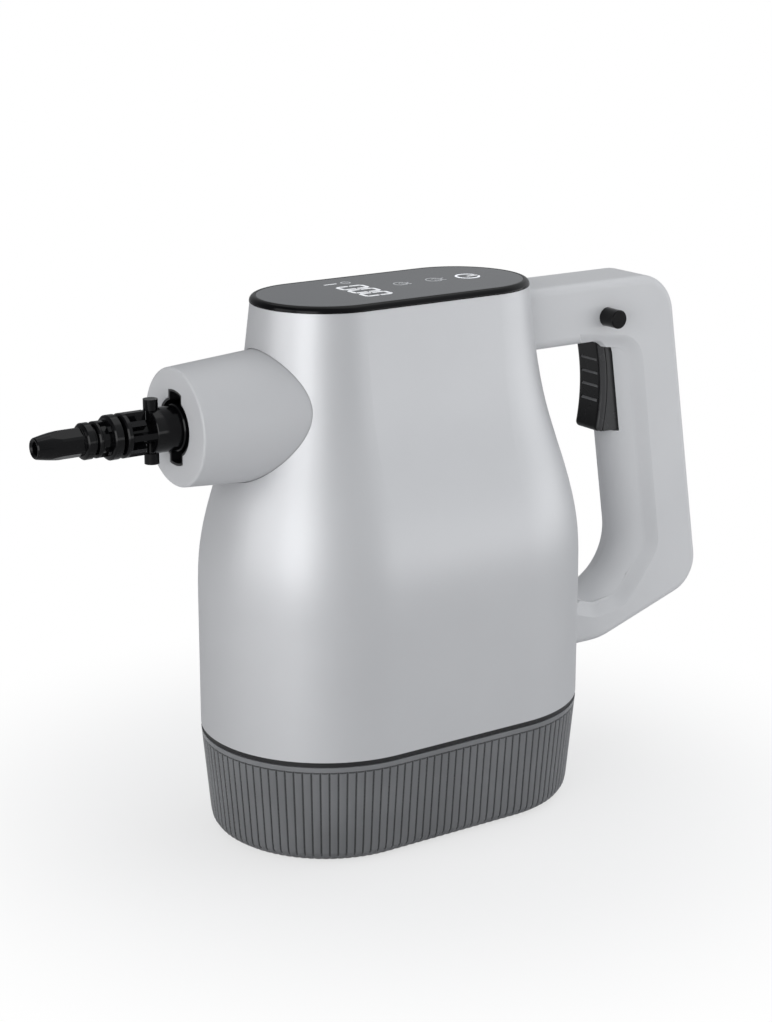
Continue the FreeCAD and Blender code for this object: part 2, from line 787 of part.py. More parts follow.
def make_board():
    top = "casing_top_z - bezel_shelf - board_standoff"
    board = box(
        "board_plate", "board_length", "board_width", "board_thickness",
        ("-board_length / 2", "-board_width / 2", top + " - board_thickness"),
    )
    holes = []
    screws = []
    for n, (sx, sy) in enumerate(((1, 1), (1, -1), (-1, 1), (-1, -1))):
        x = "%d * board_post_x" % sx
        y = "%d * board_post_y" % sy
        low = top + " - board_thickness"
        holes.append(rod(
            "board_hole%d" % n, "small_screw_radius + running_gap", "board_thickness", (x, y, low),
        ))
        screws.append(rod(
            "panel_screw_head%d" % n, "small_screw_head", "small_screw_head_height",
            (x, y, low + " - small_screw_head_height"),
        ))
        screws.append(rod(
            "panel_screw_shank%d" % n, "small_screw_radius", "board_thickness + board_standoff - 0.6",
            (x, y, low),
        ))
    piece("control_board", cut("board_cut", board, holes))
    piece("panel_screws", fuse("panel_screw_set", screws))
    piece("display_module", box(
        "display_block", "display_length", "display_width", "display_height",
        ("display_x - display_length / 2", "-display_width / 2", top),
    ))
    pads = []
    for n in range(3):
        x = "touch_end_x - %d * touch_step" % n
        height = "board_standoff + bezel_shelf + bezel_height - window_thickness - window_sink - fit_gap"
        pads.append(rod("touch_pad%d" % n, "touch_pad_radius", height, (x, "touch_y", top)))
    piece("touch_pads", fuse("touch_pad_set", pads))


# Nose shroud
def nose_radius(x):
    share = (x - v.nose_face_x) / (v.chassis_front_x - v.nose_face_x)
    return v.nose_face_radius + (v.nose_back_radius - v.nose_face_radius) * share


def nose_cone(extra, back):
    front = v.nose_face_x
    length = back - front
    tip = Vector(front, 0, v.nose_z)
    return Part.makeCone(v.nose_face_radius + extra, nose_radius(back) + extra, length, tip, X_AXIS)


def nose_lug(side):
    back = v.chassis_front_x - v.touch_gap
    reach = nose_radius(back) - v.nose_wall / 2
    height = 9.0
    low = v.nose_z + reach - height if side > 0 else v.nose_z - reach
    return Part.makeBox(9.0, 12.0, height, Vector(back - 9.0, -6.0, low))


def nose_screw_height(side):
    back = v.chassis_front_x - v.touch_gap
    return v.nose_z + side * (nose_radius(back) - v.nose_wall / 2 - 5.5)


def socket_boss_points():
    points = []
    for n in range(3):
        angle = math.radians(30 + 120 * n)
        offset = Vector(0, math.cos(angle), math.sin(angle)) * v.socket_boss_pitch
        points.append(Vector(0, 0, v.nose_z) + offset)
    return points


def socket_front_x():
    return v.nose_face_x + v.nose_front_wall


def socket_back_x():
    return socket_front_x() + v.socket_chamber_length


def keyhole(grow, start, end):
    # the outline the pins pass, enlarged by grow
    throat = along_x(v.nose_bore_radius + grow, start, end, 0, v.nose_z)
    half, reach = v.keyway_width / 2 + grow, v.keyway_reach + grow
    way = Part.makeBox(
        end - start, 2 * half, 2 * reach, Vector(start, -v.keyway_shift - half, v.nose_z - reach),
    )
    return throat.fuse(way.common(along_x(reach, start, end, 0, v.nose_z))).removeSplitter()


def make_nose():
    back = v.chassis_front_x - v.touch_gap
    shell = nose_cone(0.0, back)
    rim = [
        edge for edge in shell.Edges
        if edge.Closed and abs(edge.BoundBox.XMax - v.nose_face_x) < 0.01
    ]
    shell = shell.makeFillet(v.nose_edge, rim)
    inner_front = socket_front_x()
    hollow = Part.makeCone(
        nose_radius(inner_front) - v.nose_wall, nose_radius(back) - v.nose_wall,
        back - inner_front, Vector(inner_front, 0, v.nose_z), X_AXIS,
    )
    shape = shell.cut([hollow, keyhole(v.socket_lip + v.touch_gap, v.nose_face_x - 1, inner_front + 1)])
    bosses = [nose_lug(1), nose_lug(-1)]
    length = socket_back_x() - inner_front + 0.5
    for point in socket_boss_points():
        start = Vector(inner_front - 0.5, point.y, point.z)
        bosses.append(Part.makeCylinder(v.socket_boss_radius, length, start, X_AXIS))
    envelope = nose_cone(-v.nose_wall / 2, back)
    bosses = [boss.common(envelope) for boss in bosses]
    shape = shape.fuse(bosses)
    drills = []
    pilot = v.small_screw_radius + v.running_gap
    for point in socket_boss_points():
        start = Vector(socket_back_x() - v.socket_screw_bite - 1, point.y, point.z)
        drills.append(Part.makeCylinder(pilot, v.socket_screw_bite + 2, start, X_AXIS))
    for side in (1, -1):
        start = Vector(back - v.nose_screw_bite - 1, 0, nose_screw_height(side))
        drills.append(Part.makeCylinder(
            v.tenon_screw_radius + v.running_gap, v.nose_screw_bite + 2, start, X_AXIS,
        ))
    shaped("nose_shroud", shape.cut(drills).removeSplitter())


def along_x(radius, start_x, end_x, y, z):
    return Part.makeCylinder(radius, end_x - start_x, Vector(start_x, y, z), X_AXIS)


def x_screw(head_radius, head_height, shank_radius, face_x, shank_end, y, z):
    # a screw driven towards -X whose head bears on face_x
    head = along_x(head_radius, face_x, face_x + head_height, y, z)
    shank = along_x(shank_radius, shank_end, face_x, y, z)
    return head.fuse(shank).removeSplitter()


def make_socket():
    front = socket_front_x() + v.touch_gap
    back = socket_back_x()
    z = v.nose_z
    outer = along_x(v.socket_chamber_radius + v.socket_wall, front, back, 0, z)
    flange = along_x(v.socket_flange_radius, back, back + v.socket_flange, 0, z)
    end = back + v.socket_flange + v.socket_sleeve_length
    sleeve = along_x(v.socket_sleeve_radius, back, end + v.socket_wall, 0, z)
    lip = keyhole(v.socket_lip, v.nose_face_x + v.socket_lip_sink, front + v.socket_plate)
    body = outer.fuse([flange, sleeve, lip])
    chamber = along_x(v.socket_chamber_radius, front + v.socket_plate, back - v.socket_wall, 0, z)
    bore = along_x(v.spigot_radius + v.running_gap, front - 1, end, 0, z)
    pipe_hole = along_x(v.steam_pipe_radius + v.running_gap, front - 1, end + 5, 0, z)
    groove_start = back + 1.0
    groove = along_x(
        v.spigot_radius + v.running_gap + v.seal_thickness, groove_start,
        groove_start + v.seal_thickness, 0, z,
    )
    notches = []
    for point in socket_boss_points():
        start = front - 1
        notches.append(along_x(v.socket_boss_radius + v.touch_gap, start, back, point.y, point.z))
        notches.append(along_x(
            v.small_screw_radius + v.running_gap, back - 1, back + v.socket_flange + 1,
            point.y, point.z,
        ))
    mouth = keyhole(0.0, v.nose_face_x - 1, front + v.socket_plate + 1)
    tools = [chamber, bore, pipe_hole, groove, mouth] + notches
    shaped("steam_socket", body.cut(tools).removeSplitter())
    ring = along_x(
        v.spigot_radius + v.running_gap + v.seal_thickness, groove_start,
        groove_start + v.seal_thickness, 0, z,
    )
    hole = along_x(v.spigot_radius + v.running_gap, groove_start - 1, groove_start + 5, 0, z)
    shaped("outlet_seal", ring.cut(hole))
    screws = []
    for point in socket_boss_points():
        screws.append(x_screw(
            v.small_screw_head, v.small_screw_head_height, v.small_screw_radius,
            back + v.socket_flange, back - v.socket_screw_bite, point.y, point.z,
        ))
    shaped("socket_screws", Part.makeCompound(screws))


# Jet nozzle
def turned(points):
    # revolves a profile of (x, radius) points about the nozzle axis
    corners = [Vector(x, 0, v.nose_z + r) for x, r in points]
    wire = Part.makePolygon(corners + [corners[0]])
    return Part.Face(wire).revolve(Vector(0, 0, v.nose_z), X_AXIS, 360)


def tip_root_x():
    return v.tip_face_x + v.tip_length


def make_nozzle_tip():
    face, root = v.tip_face_x, tip_root_x()
    bore = v.nozzle_bore
    shoulder = face + v.tip_shoulder_reach

    def at(x, radius):
        return Vector(x, 0, v.nose_z + radius)

    front = at(face + 0.5, v.tip_face_radius)
    rear = at(shoulder, v.tip_root_radius)
    swell = (v.tip_face_radius + v.tip_root_radius) / 2 + v.tip_swell
    corners = [
        rear, at(root, v.tip_root_radius), at(root, bore), at(face + 0.8, bore),
        at(face, bore + 0.8), at(face, v.tip_face_radius - 0.4), front,
    ]
    edges = [Part.Arc(front, at((front.x + shoulder) / 2, swell), rear).toShape()]
    edges += [segment(p, q) for p, q in zip(corners, corners[1:])]
    cone = Part.Face(Part.Wire(edges)).revolve(Vector(0, 0, v.nose_z), X_AXIS, 360)
    flats = []
    for n in range(6):
        flat = Part.makeBox(v.tip_length, 20, 6, Vector(face + 0.25 * v.tip_length, -10, v.tip_flat))
        flat.rotate(Vector(), X_AXIS, 60 * n + 30)
        flat.translate(Vector(0, 0, v.nose_z))
        flats.append(flat)
    shaped("nozzle_tip", cone.cut(flats))


def ring_profile(start, width, inner, outer):
    # rounded towards the tip, square towards the collar
    end = start + width
    return [
        (start, inner),
        (start + 0.1, outer - 1.3),
        (start + 0.4, outer - 0.5),
        (start + 1.0, outer),
        (end - 0.3, outer),
        (end, outer - 0.3),
        (end, inner),
    ]


def nozzle_rib(start, end, width, radius, inner, turn):
    # a straight rib along the nozzle, turned about its axis from the top
    rib = Part.makeBox(end - start, width, radius - inner, Vector(start, -width / 2, inner))
    rib.rotate(Vector(), X_AXIS, turn)
    rib.translate(Vector(0, 0, v.nose_z))
    return rib


def make_nozzle_body():
    root, end = tip_root_x(), v.nozzle_body_end_x
    bore, core, waist = v.nozzle_bore, v.nozzle_core_radius, v.nozzle_waist_radius
    small, large = v.small_ring_radius, v.large_ring_radius
    points = [(root, bore), (root, core)]
    points += ring_profile(root + 0.4, 4.2, core, small)
    points += ring_profile(root + 5.9, 2.2, core, small)
    points += ring_profile(root + 12.3, 4.6, core + 0.2, large)
    points += ring_profile(root + 18.4, 2.9, core + 0.2, large)
    ring_end = root + 21.3
    points += [(ring_end, waist), (end, waist), (end, bore)]
    body = turned(points)
    width, radius, inner = v.nozzle_rib_width, v.nozzle_rib_radius, waist - 1
    near, middle = ring_end - 0.5, ring_end + 7.0
    pin_front = v.bayonet_x - v.bayonet_outer_radius - 0.6
    extras = []
    for side in (1, -1):
        extras.append(nozzle_rib(near, end, width, radius, inner, 90 * side))
        for turn in (50, 130):
            extras.append(nozzle_rib(near, middle, width, radius, inner, turn * side))
            extras.append(nozzle_rib(root + 10.6, root + 12.8, 2.4, small + 0.3, core - 1, turn * side))
    for turn in (0, 180):
        rail = v.nozzle_rail_width
        extras.append(nozzle_rib(near, pin_front, rail, v.nozzle_rail_radius, inner, turn))
        extras.append(nozzle_rib(root + 7.6, root + 13.0, rail, small - 0.2, core - 1, turn))
    shaped("nozzle_body", body.fuse(extras).removeSplitter())


def make_nozzle_stem():
    start = v.nozzle_body_end_x
    face = v.nose_face_x
    shoulder = face + 1.5
    bore, wide = v.nozzle_bore, v.spigot_bore
    stem = turned([
        (start, bore),
        (start, v.stem_radius - 0.3),
        (start + 0.3, v.stem_radius),
        (face - 0.5, v.stem_radius),
        (face, v.stem_flare),
        (shoulder, v.stem_flare),
        (shoulder, v.spigot_radius),
        (v.spigot_end_x, v.spigot_radius),
        (v.spigot_end_x, wide),
        (start + v.stem_throat, wide),
        (start + v.stem_throat, bore),
    ])
    slot_end = v.bayonet_x + v.bayonet_outer_radius + v.fit_gap
    width, plug = v.bayonet_slot_width, v.bayonet_inner_radius / 2
    tools = []
    pins = []
    for side in (1, -1):
        slot = Part.makeBox(
            slot_end - start + 1, width, v.stem_radius,
            Vector(start - 1, -width / 2, v.bayonet_seat),
        )
        slot.rotate(Vector(), X_AXIS, 0 if side > 0 else 180)
        slot.translate(Vector(0, 0, v.nose_z))
        up = Vector(0, 0, side)
        centre = Vector(v.bayonet_x, 0, v.nose_z)
        seat, step, reach = v.bayonet_seat, v.bayonet_step, v.bayonet_reach
        foot = seat - 0.7
        tools += [slot, Part.makeCylinder(plug + v.running_gap, seat, centre + up * (foot - 0.05), up)]
        neck = Part.makeCylinder(v.bayonet_inner_radius, reach - seat, centre + up * seat, up)
        head = Part.makeCylinder(v.bayonet_outer_radius, reach - step, centre + up * step, up)
        root = Part.makeCylinder(plug, seat - foot + 0.1, centre + up * foot, up)
        pins.append(neck.fuse([head, root]).removeSplitter())
    shaped("nozzle_stem", stem.cut(tools).removeSplitter())
    return pins


def make_bayonet_pins():
    pins = make_nozzle_stem()
    body = PIECES["nozzle_body"]
    clearances = []
    for side in (1, -1):
        up = Vector(0, 0, side)
        seat = Vector(v.bayonet_x, 0, v.nose_z) + up * (v.bayonet_seat - v.fit_gap)
        clearances.append(Part.makeCylinder(
            v.bayonet_inner_radius + v.fit_gap, v.bayonet_reach, seat, up,
        ))
    body.Shape = body.Shape.cut(clearances)
    shaped("bayonet_pins", Part.makeCompound(pins))


# Paths of tubes, straight runs joined by tangent arcs
def bent_tube(points, radius, bend, bore=None):
    edges = []
    here = points[0]
    for n in range(1, len(points) - 1):
        before = (points[n - 1] - points[n]).normalize()
        after = (points[n + 1] - points[n]).normalize()
        turn = math.pi - before.getAngle(after)
        reach = bend * math.tan(turn / 2)
        start = points[n] + before * reach
        end = points[n] + after * reach
        middle_way = (before + after).normalize()
        centre = points[n] + middle_way * (bend / math.cos(turn / 2))
        middle = centre - middle_way * bend
        edges.append(segment(here, start))
        edges.append(Part.Arc(start, middle, end).toShape())
        here = end
    edges.append(segment(here, points[-1]))
    path = Part.Wire(edges)
    direction = (points[1] - points[0]).normalize()

    def swept(r):
        ring = Part.Wire(Part.makeCircle(r, points[0], direction))
        return path.makePipeShell([ring], True, False)

    solid = swept(radius)
    if bore is None:
        return solid
    return solid.cut(swept(bore))


def make_steam_pipe():
    points = [
        Vector(v.steam_riser_x, 0, v.boiler_land_z),
        Vector(v.steam_riser_x, 0, v.nose_z),
        Vector(v.steam_pipe_end_x, 0, v.nose_z),
    ]
    shaped("steam_pipe", bent_tube(points, v.steam_pipe_radius, v.steam_pipe_bend, v.steam_pipe_bore))


# Water tank
def flute_counts():
    side = max(2, round(v.casing_straight / v.flute_pitch))
    end = max(3, round(math.pi * v.tank_top_radius / v.flute_pitch))
    return side, end


def stadium_point(radius, s, side, end):
    # s counts flutes round the stadium, starting at the near left corner
    half = v.casing_straight / 2
    total = 2 * (side + end)
    s = s % total
    if s <= side:
        return Vector(-half + v.casing_straight * s / side, -radius, 0)
    s -= side
    if s <= end:
        angle = -math.pi / 2 + math.pi * s / end
        return Vector(half + radius * math.cos(angle), radius * math.sin(angle), 0)
    s -= end
    if s <= side:
        return Vector(half - v.casing_straight * s / side, radius, 0)
    s -= side
    angle = math.pi / 2 + math.pi * s / end
    return Vector(-half + radius * math.cos(angle), radius * math.sin(angle), 0)


def fluted_wire(radius, height):
    side, end = flute_counts()
    lift = Vector(0, 0, height)
    edges = []
    for n in range(2 * (side + end)):
        start = stadium_point(radius - v.flute_depth, n, side, end) + lift
        middle = stadium_point(radius, n + 0.5, side, end) + lift
        finish = stadium_point(radius - v.flute_depth, n + 1, side, end) + lift
        edges.append(Part.Arc(start, middle, finish).toShape())
    return Part.Wire(edges)


def stadium_wire(radius, height):
    half = v.casing_straight / 2
    a = Vector(-half, -radius, height)
    b = Vector(half, -radius, height)
    c = Vector(half, radius, height)
    d = Vector(-half, radius, height)
    east = Vector(half + radius, 0, height)
    west = Vector(-half - radius, 0, height)
    return Part.Wire([
        segment(a, b), Part.Arc(b, east, c).toShape(), segment(c, d), Part.Arc(d, west, a).toShape(),
    ])


def tank_radius(height):
    share = (height - v.tank_foot_round) / (v.tank_rim_z - v.tank_foot_round)
    return v.tank_foot_radius + (v.tank_top_radius - v.tank_foot_radius) * share


def make_tank():
    rounding = v.tank_foot_round
    levels = []
    for step in range(5):
        angle = math.pi / 2 * step / 4
        radius = v.tank_foot_radius - rounding * (1 - math.sin(angle))
        height = rounding * (1 - math.cos(angle))
        levels.append((radius, height))
    levels.append((tank_radius(v.flute_top_z), v.flute_top_z))
    wires = [fluted_wire(radius, height) for radius, height in levels]
    fluted = Part.makeLoft(wires, True, True)
    band = Part.makeLoft(
        [stadium_wire(tank_radius(v.flute_top_z), v.flute_top_z), stadium_wire(v.tank_top_radius, v.tank_rim_z)],
        True, True,
    )
    inner_low = tank_radius(v.tank_floor) - v.tank_wall
    inner_top = tank_radius(v.tank_rim_z + 1) - v.tank_wall
    hollow = Part.makeLoft(
        [stadium_wire(inner_low, v.tank_floor), stadium_wire(inner_top, v.tank_rim_z + 1)], True, True,
    )
    low_edges = [e for e in hollow.Edges if abs(e.BoundBox.ZMax - v.tank_floor) < 0.01]
    hollow = hollow.makeFillet(v.tank_inner_round, low_edges)
    shaped("water_tank", fluted.fuse(band).cut(hollow))


# Base deck that closes the casing and seals the tank
def make_deck():
    body = new_body("deck_body")
    flange = "casing_foot_radius - deck_recess"
    inside = "casing_foot_radius - casing_wall - fit_gap"
    land = "gasket_radius - gasket_width"
    thickness = "deck_thickness"
    stadium_pad(body, "deck_flange", "deck_bottom_z", thickness, flange)
    stadium_pad(body, "deck_rib", "casing_foot_z", "deck_rib_height", inside, inside + " - deck_rib_wall")
    stadium_pad(
        body, "deck_land", "deck_bottom_z - seal_land_depth", "seal_land_depth",
        land, land + " - seal_land_wall",
    )
    port = rod(
        "deck_port", "port_radius", "port_depth + " + thickness,
        ("port_x", "0", "deck_bottom_z - port_depth"),
    )
    post = box(
        "deck_post", "deck_post_thickness", "tenon_width", "low_tenon_high_z - casing_foot_z",
        ("deck_post_x", "-tenon_width / 2", "casing_foot_z"),
    )
    whole = fuse("deck_whole", [body, port, post])
    tools = [rod(
        "deck_port_bore", "intake_radius + running_gap", "port_depth + 10",
        ("port_x", "0", "deck_bottom_z - port_depth - 1"),
    )]
    for n, side in enumerate(("", "-")):
        tools.append(rod(
            "deck_post_hole%d" % n, "tenon_screw_radius + running_gap", "deck_post_thickness + 2",
            ("deck_post_x - 1", side + "tenon_screw_y", "(low_tenon_low_z + low_tenon_high_z) / 2"), "x",
        ))
    for n, (x, y) in enumerate(chassis_screw_places()):
        tools.append(rod(
            "deck_hole%d" % n, "tenon_screw_radius + running_gap", thickness + " + 2",
            (x, y, "deck_bottom_z - 1"),
        ))
    piece("base_deck", cut("deck_cut", whole, tools))
    gasket = new_body("gasket_body")
    stadium_pad(
        gasket, "gasket_pad", "gasket_low_z", "gasket_height", "gasket_radius", land,
    )
    piece("tank_gasket", gasket)


def chassis_screw_places():
    front = "chassis_front_x + 7"
    rear = "chassis_rear_x - 4"
    near, far = "chassis_screw_y", "-chassis_screw_y"
    return ((front, near), (front, far), (rear, near), (rear, far))


def make_chassis_screws():
    screws = []
    for n, (x, y) in enumerate(chassis_screw_places()):
        screws.append(rod(
            "chassis_screw_head%d" % n, "tenon_screw_head", "tenon_screw_head_height",
            (x, y, "deck_bottom_z - tenon_screw_head_height"),
        ))
        screws.append(rod(
            "chassis_screw_shank%d" % n, "tenon_screw_radius", "tenon_screw_length",
            (x, y, "deck_bottom_z"),
        ))
    piece("chassis_screws", fuse("chassis_screw_set", screws))


# Chassis frame
def make_chassis():
    wide = "-chassis_width / 2"
    foot = "casing_foot_z"
    members = [
        box(
            "chassis_front", "chassis_plate", "chassis_width", "chassis_front_top - casing_foot_z",
            ("chassis_front_x", wide, foot),
        ),
        box(
            "chassis_rear", "chassis_plate", "chassis_width", "chassis_rear_top - casing_foot_z",
            ("chassis_rear_x", wide, foot),
        ),
        box(
            "chassis_shelf", "chassis_rear_x - chassis_front_x", "chassis_width", "chassis_plate",
            ("chassis_front_x", wide, "shelf_z"),
        ),
        box(
            "chassis_bridge", "chassis_rear_x - chassis_front_x", "bridge_width", "chassis_plate",
            ("chassis_front_x", "-bridge_width / 2", "bridge_z"),
        ),
        box(
            "chassis_front_foot", "chassis_foot_length", "chassis_width", "chassis_foot_height",
            ("chassis_front_x", wide, foot),
        ),
        box(
            "chassis_rear_foot", "chassis_foot_length", "chassis_width", "chassis_foot_height",
            ("chassis_rear_x + chassis_plate - chassis_foot_length", wide, foot),
        ),
    ]
    whole = fuse("chassis_whole", members)
    tools = [
        rod(
            "chassis_pipe_hole", "socket_sleeve_radius + 1", "chassis_plate + 2",
            ("chassis_front_x - 1", "0", "nose_z"), "x",
        ),
        rod(
            "chassis_hose_hole", "hose_radius + 0.6", "chassis_plate + 2",
            ("chassis_rear_x - hose_radius - 0.8", "0", "shelf_z - 1"),
        ),
        box(
            "chassis_front_relief", "10", "16", "chassis_foot_height + 1",
            ("chassis_front_x + chassis_plate", "-8", "casing_foot_z - 0.5"),
        ),
        box(
            "chassis_rear_relief", "10", "16", "chassis_foot_height + 1",
            ("chassis_rear_x - 10", "-8", "casing_foot_z - 0.5"),
        ),
    ]
    for n, (x, y) in enumerate(chassis_screw_places()):
        tools.append(rod(
            "chassis_foot_hole%d" % n, "tenon_screw_radius + running_gap", "tenon_screw_length",
            (x, y, "casing_foot_z - 1"),
        ))
    for n, side in enumerate(("", "-")):
        tools.append(rod(
            "chassis_tenon_hole%d" % n, "tenon_screw_radius + running_gap", "chassis_plate + 2",
            ("chassis_rear_x - 1", side + "tenon_screw_y", "(top_tenon_low_z + top_tenon_high_z) / 2"), "x",
        ))
    frame = cut("chassis_frame_cut", whole, tools)
    doc.recompute()
    drills = []
    for side in (1, -1):
        drills.append(along_x(
            v.tenon_screw_radius + v.running_gap, v.chassis_front_x - 1,
            v.chassis_front_x + v.chassis_plate + 1, 0, nose_screw_height(side),
        ))
    shaped("chassis_frame", frame.Shape.cut(drills).removeSplitter())
    screws = []
    for side in (1, -1):
        face = v.chassis_front_x + v.chassis_plate
        screws.append(x_screw(
            v.tenon_screw_head, v.tenon_screw_head_height, v.tenon_screw_radius, face,
            v.chassis_front_x - v.nose_screw_bite, 0, nose_screw_height(side),
        ))
    shaped("nose_screws", Part.makeCompound(screws))


# Pump with its mounts, hoses and valve
def make_pump():
    middle = "pump_x + pump_length / 2"
    left = middle + " - pump_bracket_length / 2"
    plate = box(
        "pump_plate", "pump_bracket_length", "pump_bracket_width", "pump_bracket_thickness",
        (left, "-pump_bracket_width / 2", "casing_foot_z"),
    )
    piece("pump_bracket", plate)
    mounts = []
    for n, (sx, sy) in enumerate(((1, 1), (1, -1), (-1, 1), (-1, -1))):
        x = middle + " + %d * (pump_length / 2 - pump_mount_radius)" % sx
        y = "%d * (pump_width / 2 - pump_mount_radius)" % sy
        z = "casing_foot_z + pump_bracket_thickness"
        mounts.append(rod("pump_mount%d" % n, "pump_mount_radius", "pump_mount_height", (x, y, z)))
    piece("pump_mounts", fuse("pump_mount_set", mounts))
    floor = "casing_foot_z + pump_bracket_thickness + pump_mount_height"
    axis = floor + " + pump_height / 2"
    frame = box(
        "pump_frame", "pump_length", "pump_width", "pump_height",
        ("pump_x", "-pump_width / 2", floor),
    )
    rounded = doc.addObject("Part::Fillet", "pump_frame_round")
    rounded.Base = frame
    doc.recompute()
    edges = []
    for number, edge in enumerate(frame.Shape.Edges, 1):
        if edge.BoundBox.XLength > v.pump_length - 0.1:
            edges.append((number, 5.0, 5.0))
    rounded.Edges = edges
    bore = rod("pump_bore", "pump_nose_radius", "pump_length + 2", ("pump_x - 1", "0", axis), "x")
    piece("pump_body", cut("pump_body_cut", rounded, [bore]))
    core = rod(
        "pump_core", "pump_nose_radius - running_gap", "pump_length + 2 * pump_nose_length",
        ("pump_x - pump_nose_length", "0", axis), "x",
    )
    barb_in = rod(
        "pump_barb_in", "barb_radius", "barb_length",
        ("pump_x - pump_nose_length", "0", axis), "-x",
    )
    barb_out = rod(
        "pump_barb_out", "barb_radius", "barb_length",
        ("pump_x + pump_length + pump_nose_length", "0", axis), "x",
    )
    piece("pump_head", fuse("pump_head_whole", [core, barb_in, barb_out]))
    valve_x = "pump_x + pump_length + pump_nose_length + running_gap"
    shell = rod("valve_shell", "valve_radius", "valve_length", (valve_x, "0", axis), "x")
    mouth = rod("valve_mouth", "barb_radius + running_gap", "barb_length + 1", (valve_x, "0", axis), "x")
    nipple = rod(
        "valve_barb", "barb_radius", "barb_length", (valve_x + " + valve_length", "0", axis), "x",
    )
    piece("check_valve", fuse("valve_whole", [cut("valve_cut", shell, [mouth]), nipple]))


def pump_axis_z():
    floor = v.casing_foot_z + v.pump_bracket_thickness + v.pump_mount_height
    return floor + v.pump_height / 2


def make_hoses():
    axis = pump_axis_z()
    inlet_x = v.pump_x - v.pump_nose_length - v.running_gap
    low = v.casing_foot_z + v.running_gap
    points = [
        Vector(inlet_x, 0, axis), Vector(v.port_x, 0, axis), Vector(v.port_x, 0, low + 5.0),
    ]
    bend = min(v.hose_bend, inlet_x - v.port_x - 0.5)
    bend = max(bend, 2.0)
    hose = bent_tube(points, v.hose_radius, bend, v.hose_bore)
    shaped("intake_hose", hose)
    start = v.pump_x + v.pump_length + v.pump_nose_length + v.valve_length + 2 * v.running_gap
    rise_x = v.chassis_rear_x - v.hose_radius - 0.8
    inlet_z = v.boiler_z + v.inlet_rise
    points = [
        Vector(start, 0, axis),
        Vector(rise_x, 0, axis),
        Vector(rise_x, 0, inlet_z),
        Vector(v.boiler_rear_x + v.running_gap, 0, inlet_z),
    ]
    bend = max(2.0, min(v.hose_bend, rise_x - start - 0.5))
    shaped("feed_hose", bent_tube(points, v.hose_radius, bend, v.hose_bore))


def make_intake():
    top = "casing_foot_z + 5"
    low = "tank_floor + filter_clear + 2"
    stalk = rod("intake_stalk", "intake_radius", top + " - (" + low + ")", ("port_x", "0", low))
    barb = rod("intake_barb", "barb_radius", "barb_length", ("port_x", "0", top))
    bore = rod("intake_bore_rod", "intake_bore", "deck_bottom_z + 20", ("port_x", "0", low))
    piece("intake_tube", cut("intake_tube_cut", fuse("intake_whole", [stalk, barb]), [bore]))
    shell = rod(
        "filter_shell", "filter_radius", "filter_height", ("port_x", "0", "tank_floor + filter_clear"),
    )
    hole = rod(
        "filter_hole", "intake_radius + running_gap", "filter_height", ("port_x", "0", low),
    )
    slots = []
    for n in range(3):
        z = "tank_floor + filter_clear + %s * filter_height" % (0.28 + 0.24 * n)
        slots.append(tube(
            "filter_slot%d" % n, "filter_radius + 1", "filter_radius - 1", "1", ("port_x", "0", z),
        ))
    piece("intake_filter", cut("filter_cut", shell, [hole] + slots))


# Boiler
def make_boiler():
    length = "boiler_rear_x - boiler_front_x"
    drum = rod("boiler_drum", "boiler_radius", length, ("boiler_front_x", "0", "boiler_z"), "x")
    flange = rod(
        "boiler_rim", "boiler_flange_radius", "boiler_flange", ("boiler_front_x", "0", "boiler_z"), "x",
    )
    land = box(
        "boiler_land", length + " - 10", "boiler_land_width", "boiler_land_z - boiler_z",
        ("boiler_front_x + 5", "-boiler_land_width / 2", "boiler_z"),
    )
    inlet = rod(
        "boiler_inlet", "barb_radius", "barb_length",
        ("boiler_rear_x", "0", "boiler_z + inlet_rise"), "x",
    )
    tools = []
    for n, side in enumerate(("", "-")):
        tools.append(rod(
            "heater_bore%d" % n, "heater_radius + running_gap", length + " - 10",
            ("boiler_front_x + 10.1", side + "heater_spread", "boiler_z - heater_drop"), "x",
        ))
    body = cut("boiler_cut", fuse("boiler_whole", [drum, flange, land, inlet]), tools)
    doc.recompute()
    shape = body.Shape
    depth = v.boiler_screw_bite
    cover = along_x(
        v.boiler_flange_radius, v.boiler_front_x - v.boiler_cover_thickness, v.boiler_front_x, 0, v.boiler_z,
    )
    raised = along_x(
        v.boiler_radius * 0.6, v.boiler_front_x - v.boiler_cover_thickness - 2, v.boiler_front_x,
        0, v.boiler_z,
    )
    cover = cover.fuse(raised)
    drills = []
    screws = []
    face = v.boiler_front_x - v.boiler_cover_thickness
    for n in range(6):
        angle = math.radians(60 * n)
        y = v.boiler_screw_pitch * math.cos(angle)
        z = v.boiler_z + v.boiler_screw_pitch * math.sin(angle)
        drills.append(along_x(v.boiler_screw_radius + v.running_gap, face - 1, face + depth + 1, y, z))
        head = along_x(v.boiler_screw_head, face - v.boiler_screw_head_height, face, y, z)
        shank = along_x(v.boiler_screw_radius, face, face + depth, y, z)
        screws.append(head.fuse(shank).removeSplitter())
    steam = Part.makeCylinder(
        v.steam_pipe_bore, 12, Vector(v.steam_riser_x, 0, v.boiler_land_z - 12), Z_AXIS,
    )
    shaped("boiler_body", shape.cut(drills + [steam]).removeSplitter())
    shaped("boiler_cover", cover.cut(drills).removeSplitter())
    shaped("boiler_screws", Part.makeCompound(screws))
    heaters = []
    tabs = []
    for n, side in enumerate(("", "-")):
        y = side + "heater_spread"
        z = "boiler_z - heater_drop"
        heaters.append(rod(
            "heater_rod%d" % n, "heater_radius", length + " - 11 + heater_overrun",
            ("boiler_front_x + 11", y, z), "x",
        ))
        tabs.append(box(
            "terminal%d" % n, "terminal_length", "terminal_width", "terminal_thickness",
            ("boiler_rear_x + heater_overrun", y + " - terminal_width / 2", z + " - terminal_thickness / 2"),
        ))
    piece("heater_elements", fuse("heater_pair", heaters))
    piece("heater_terminals", fuse("terminal_pair", tabs))


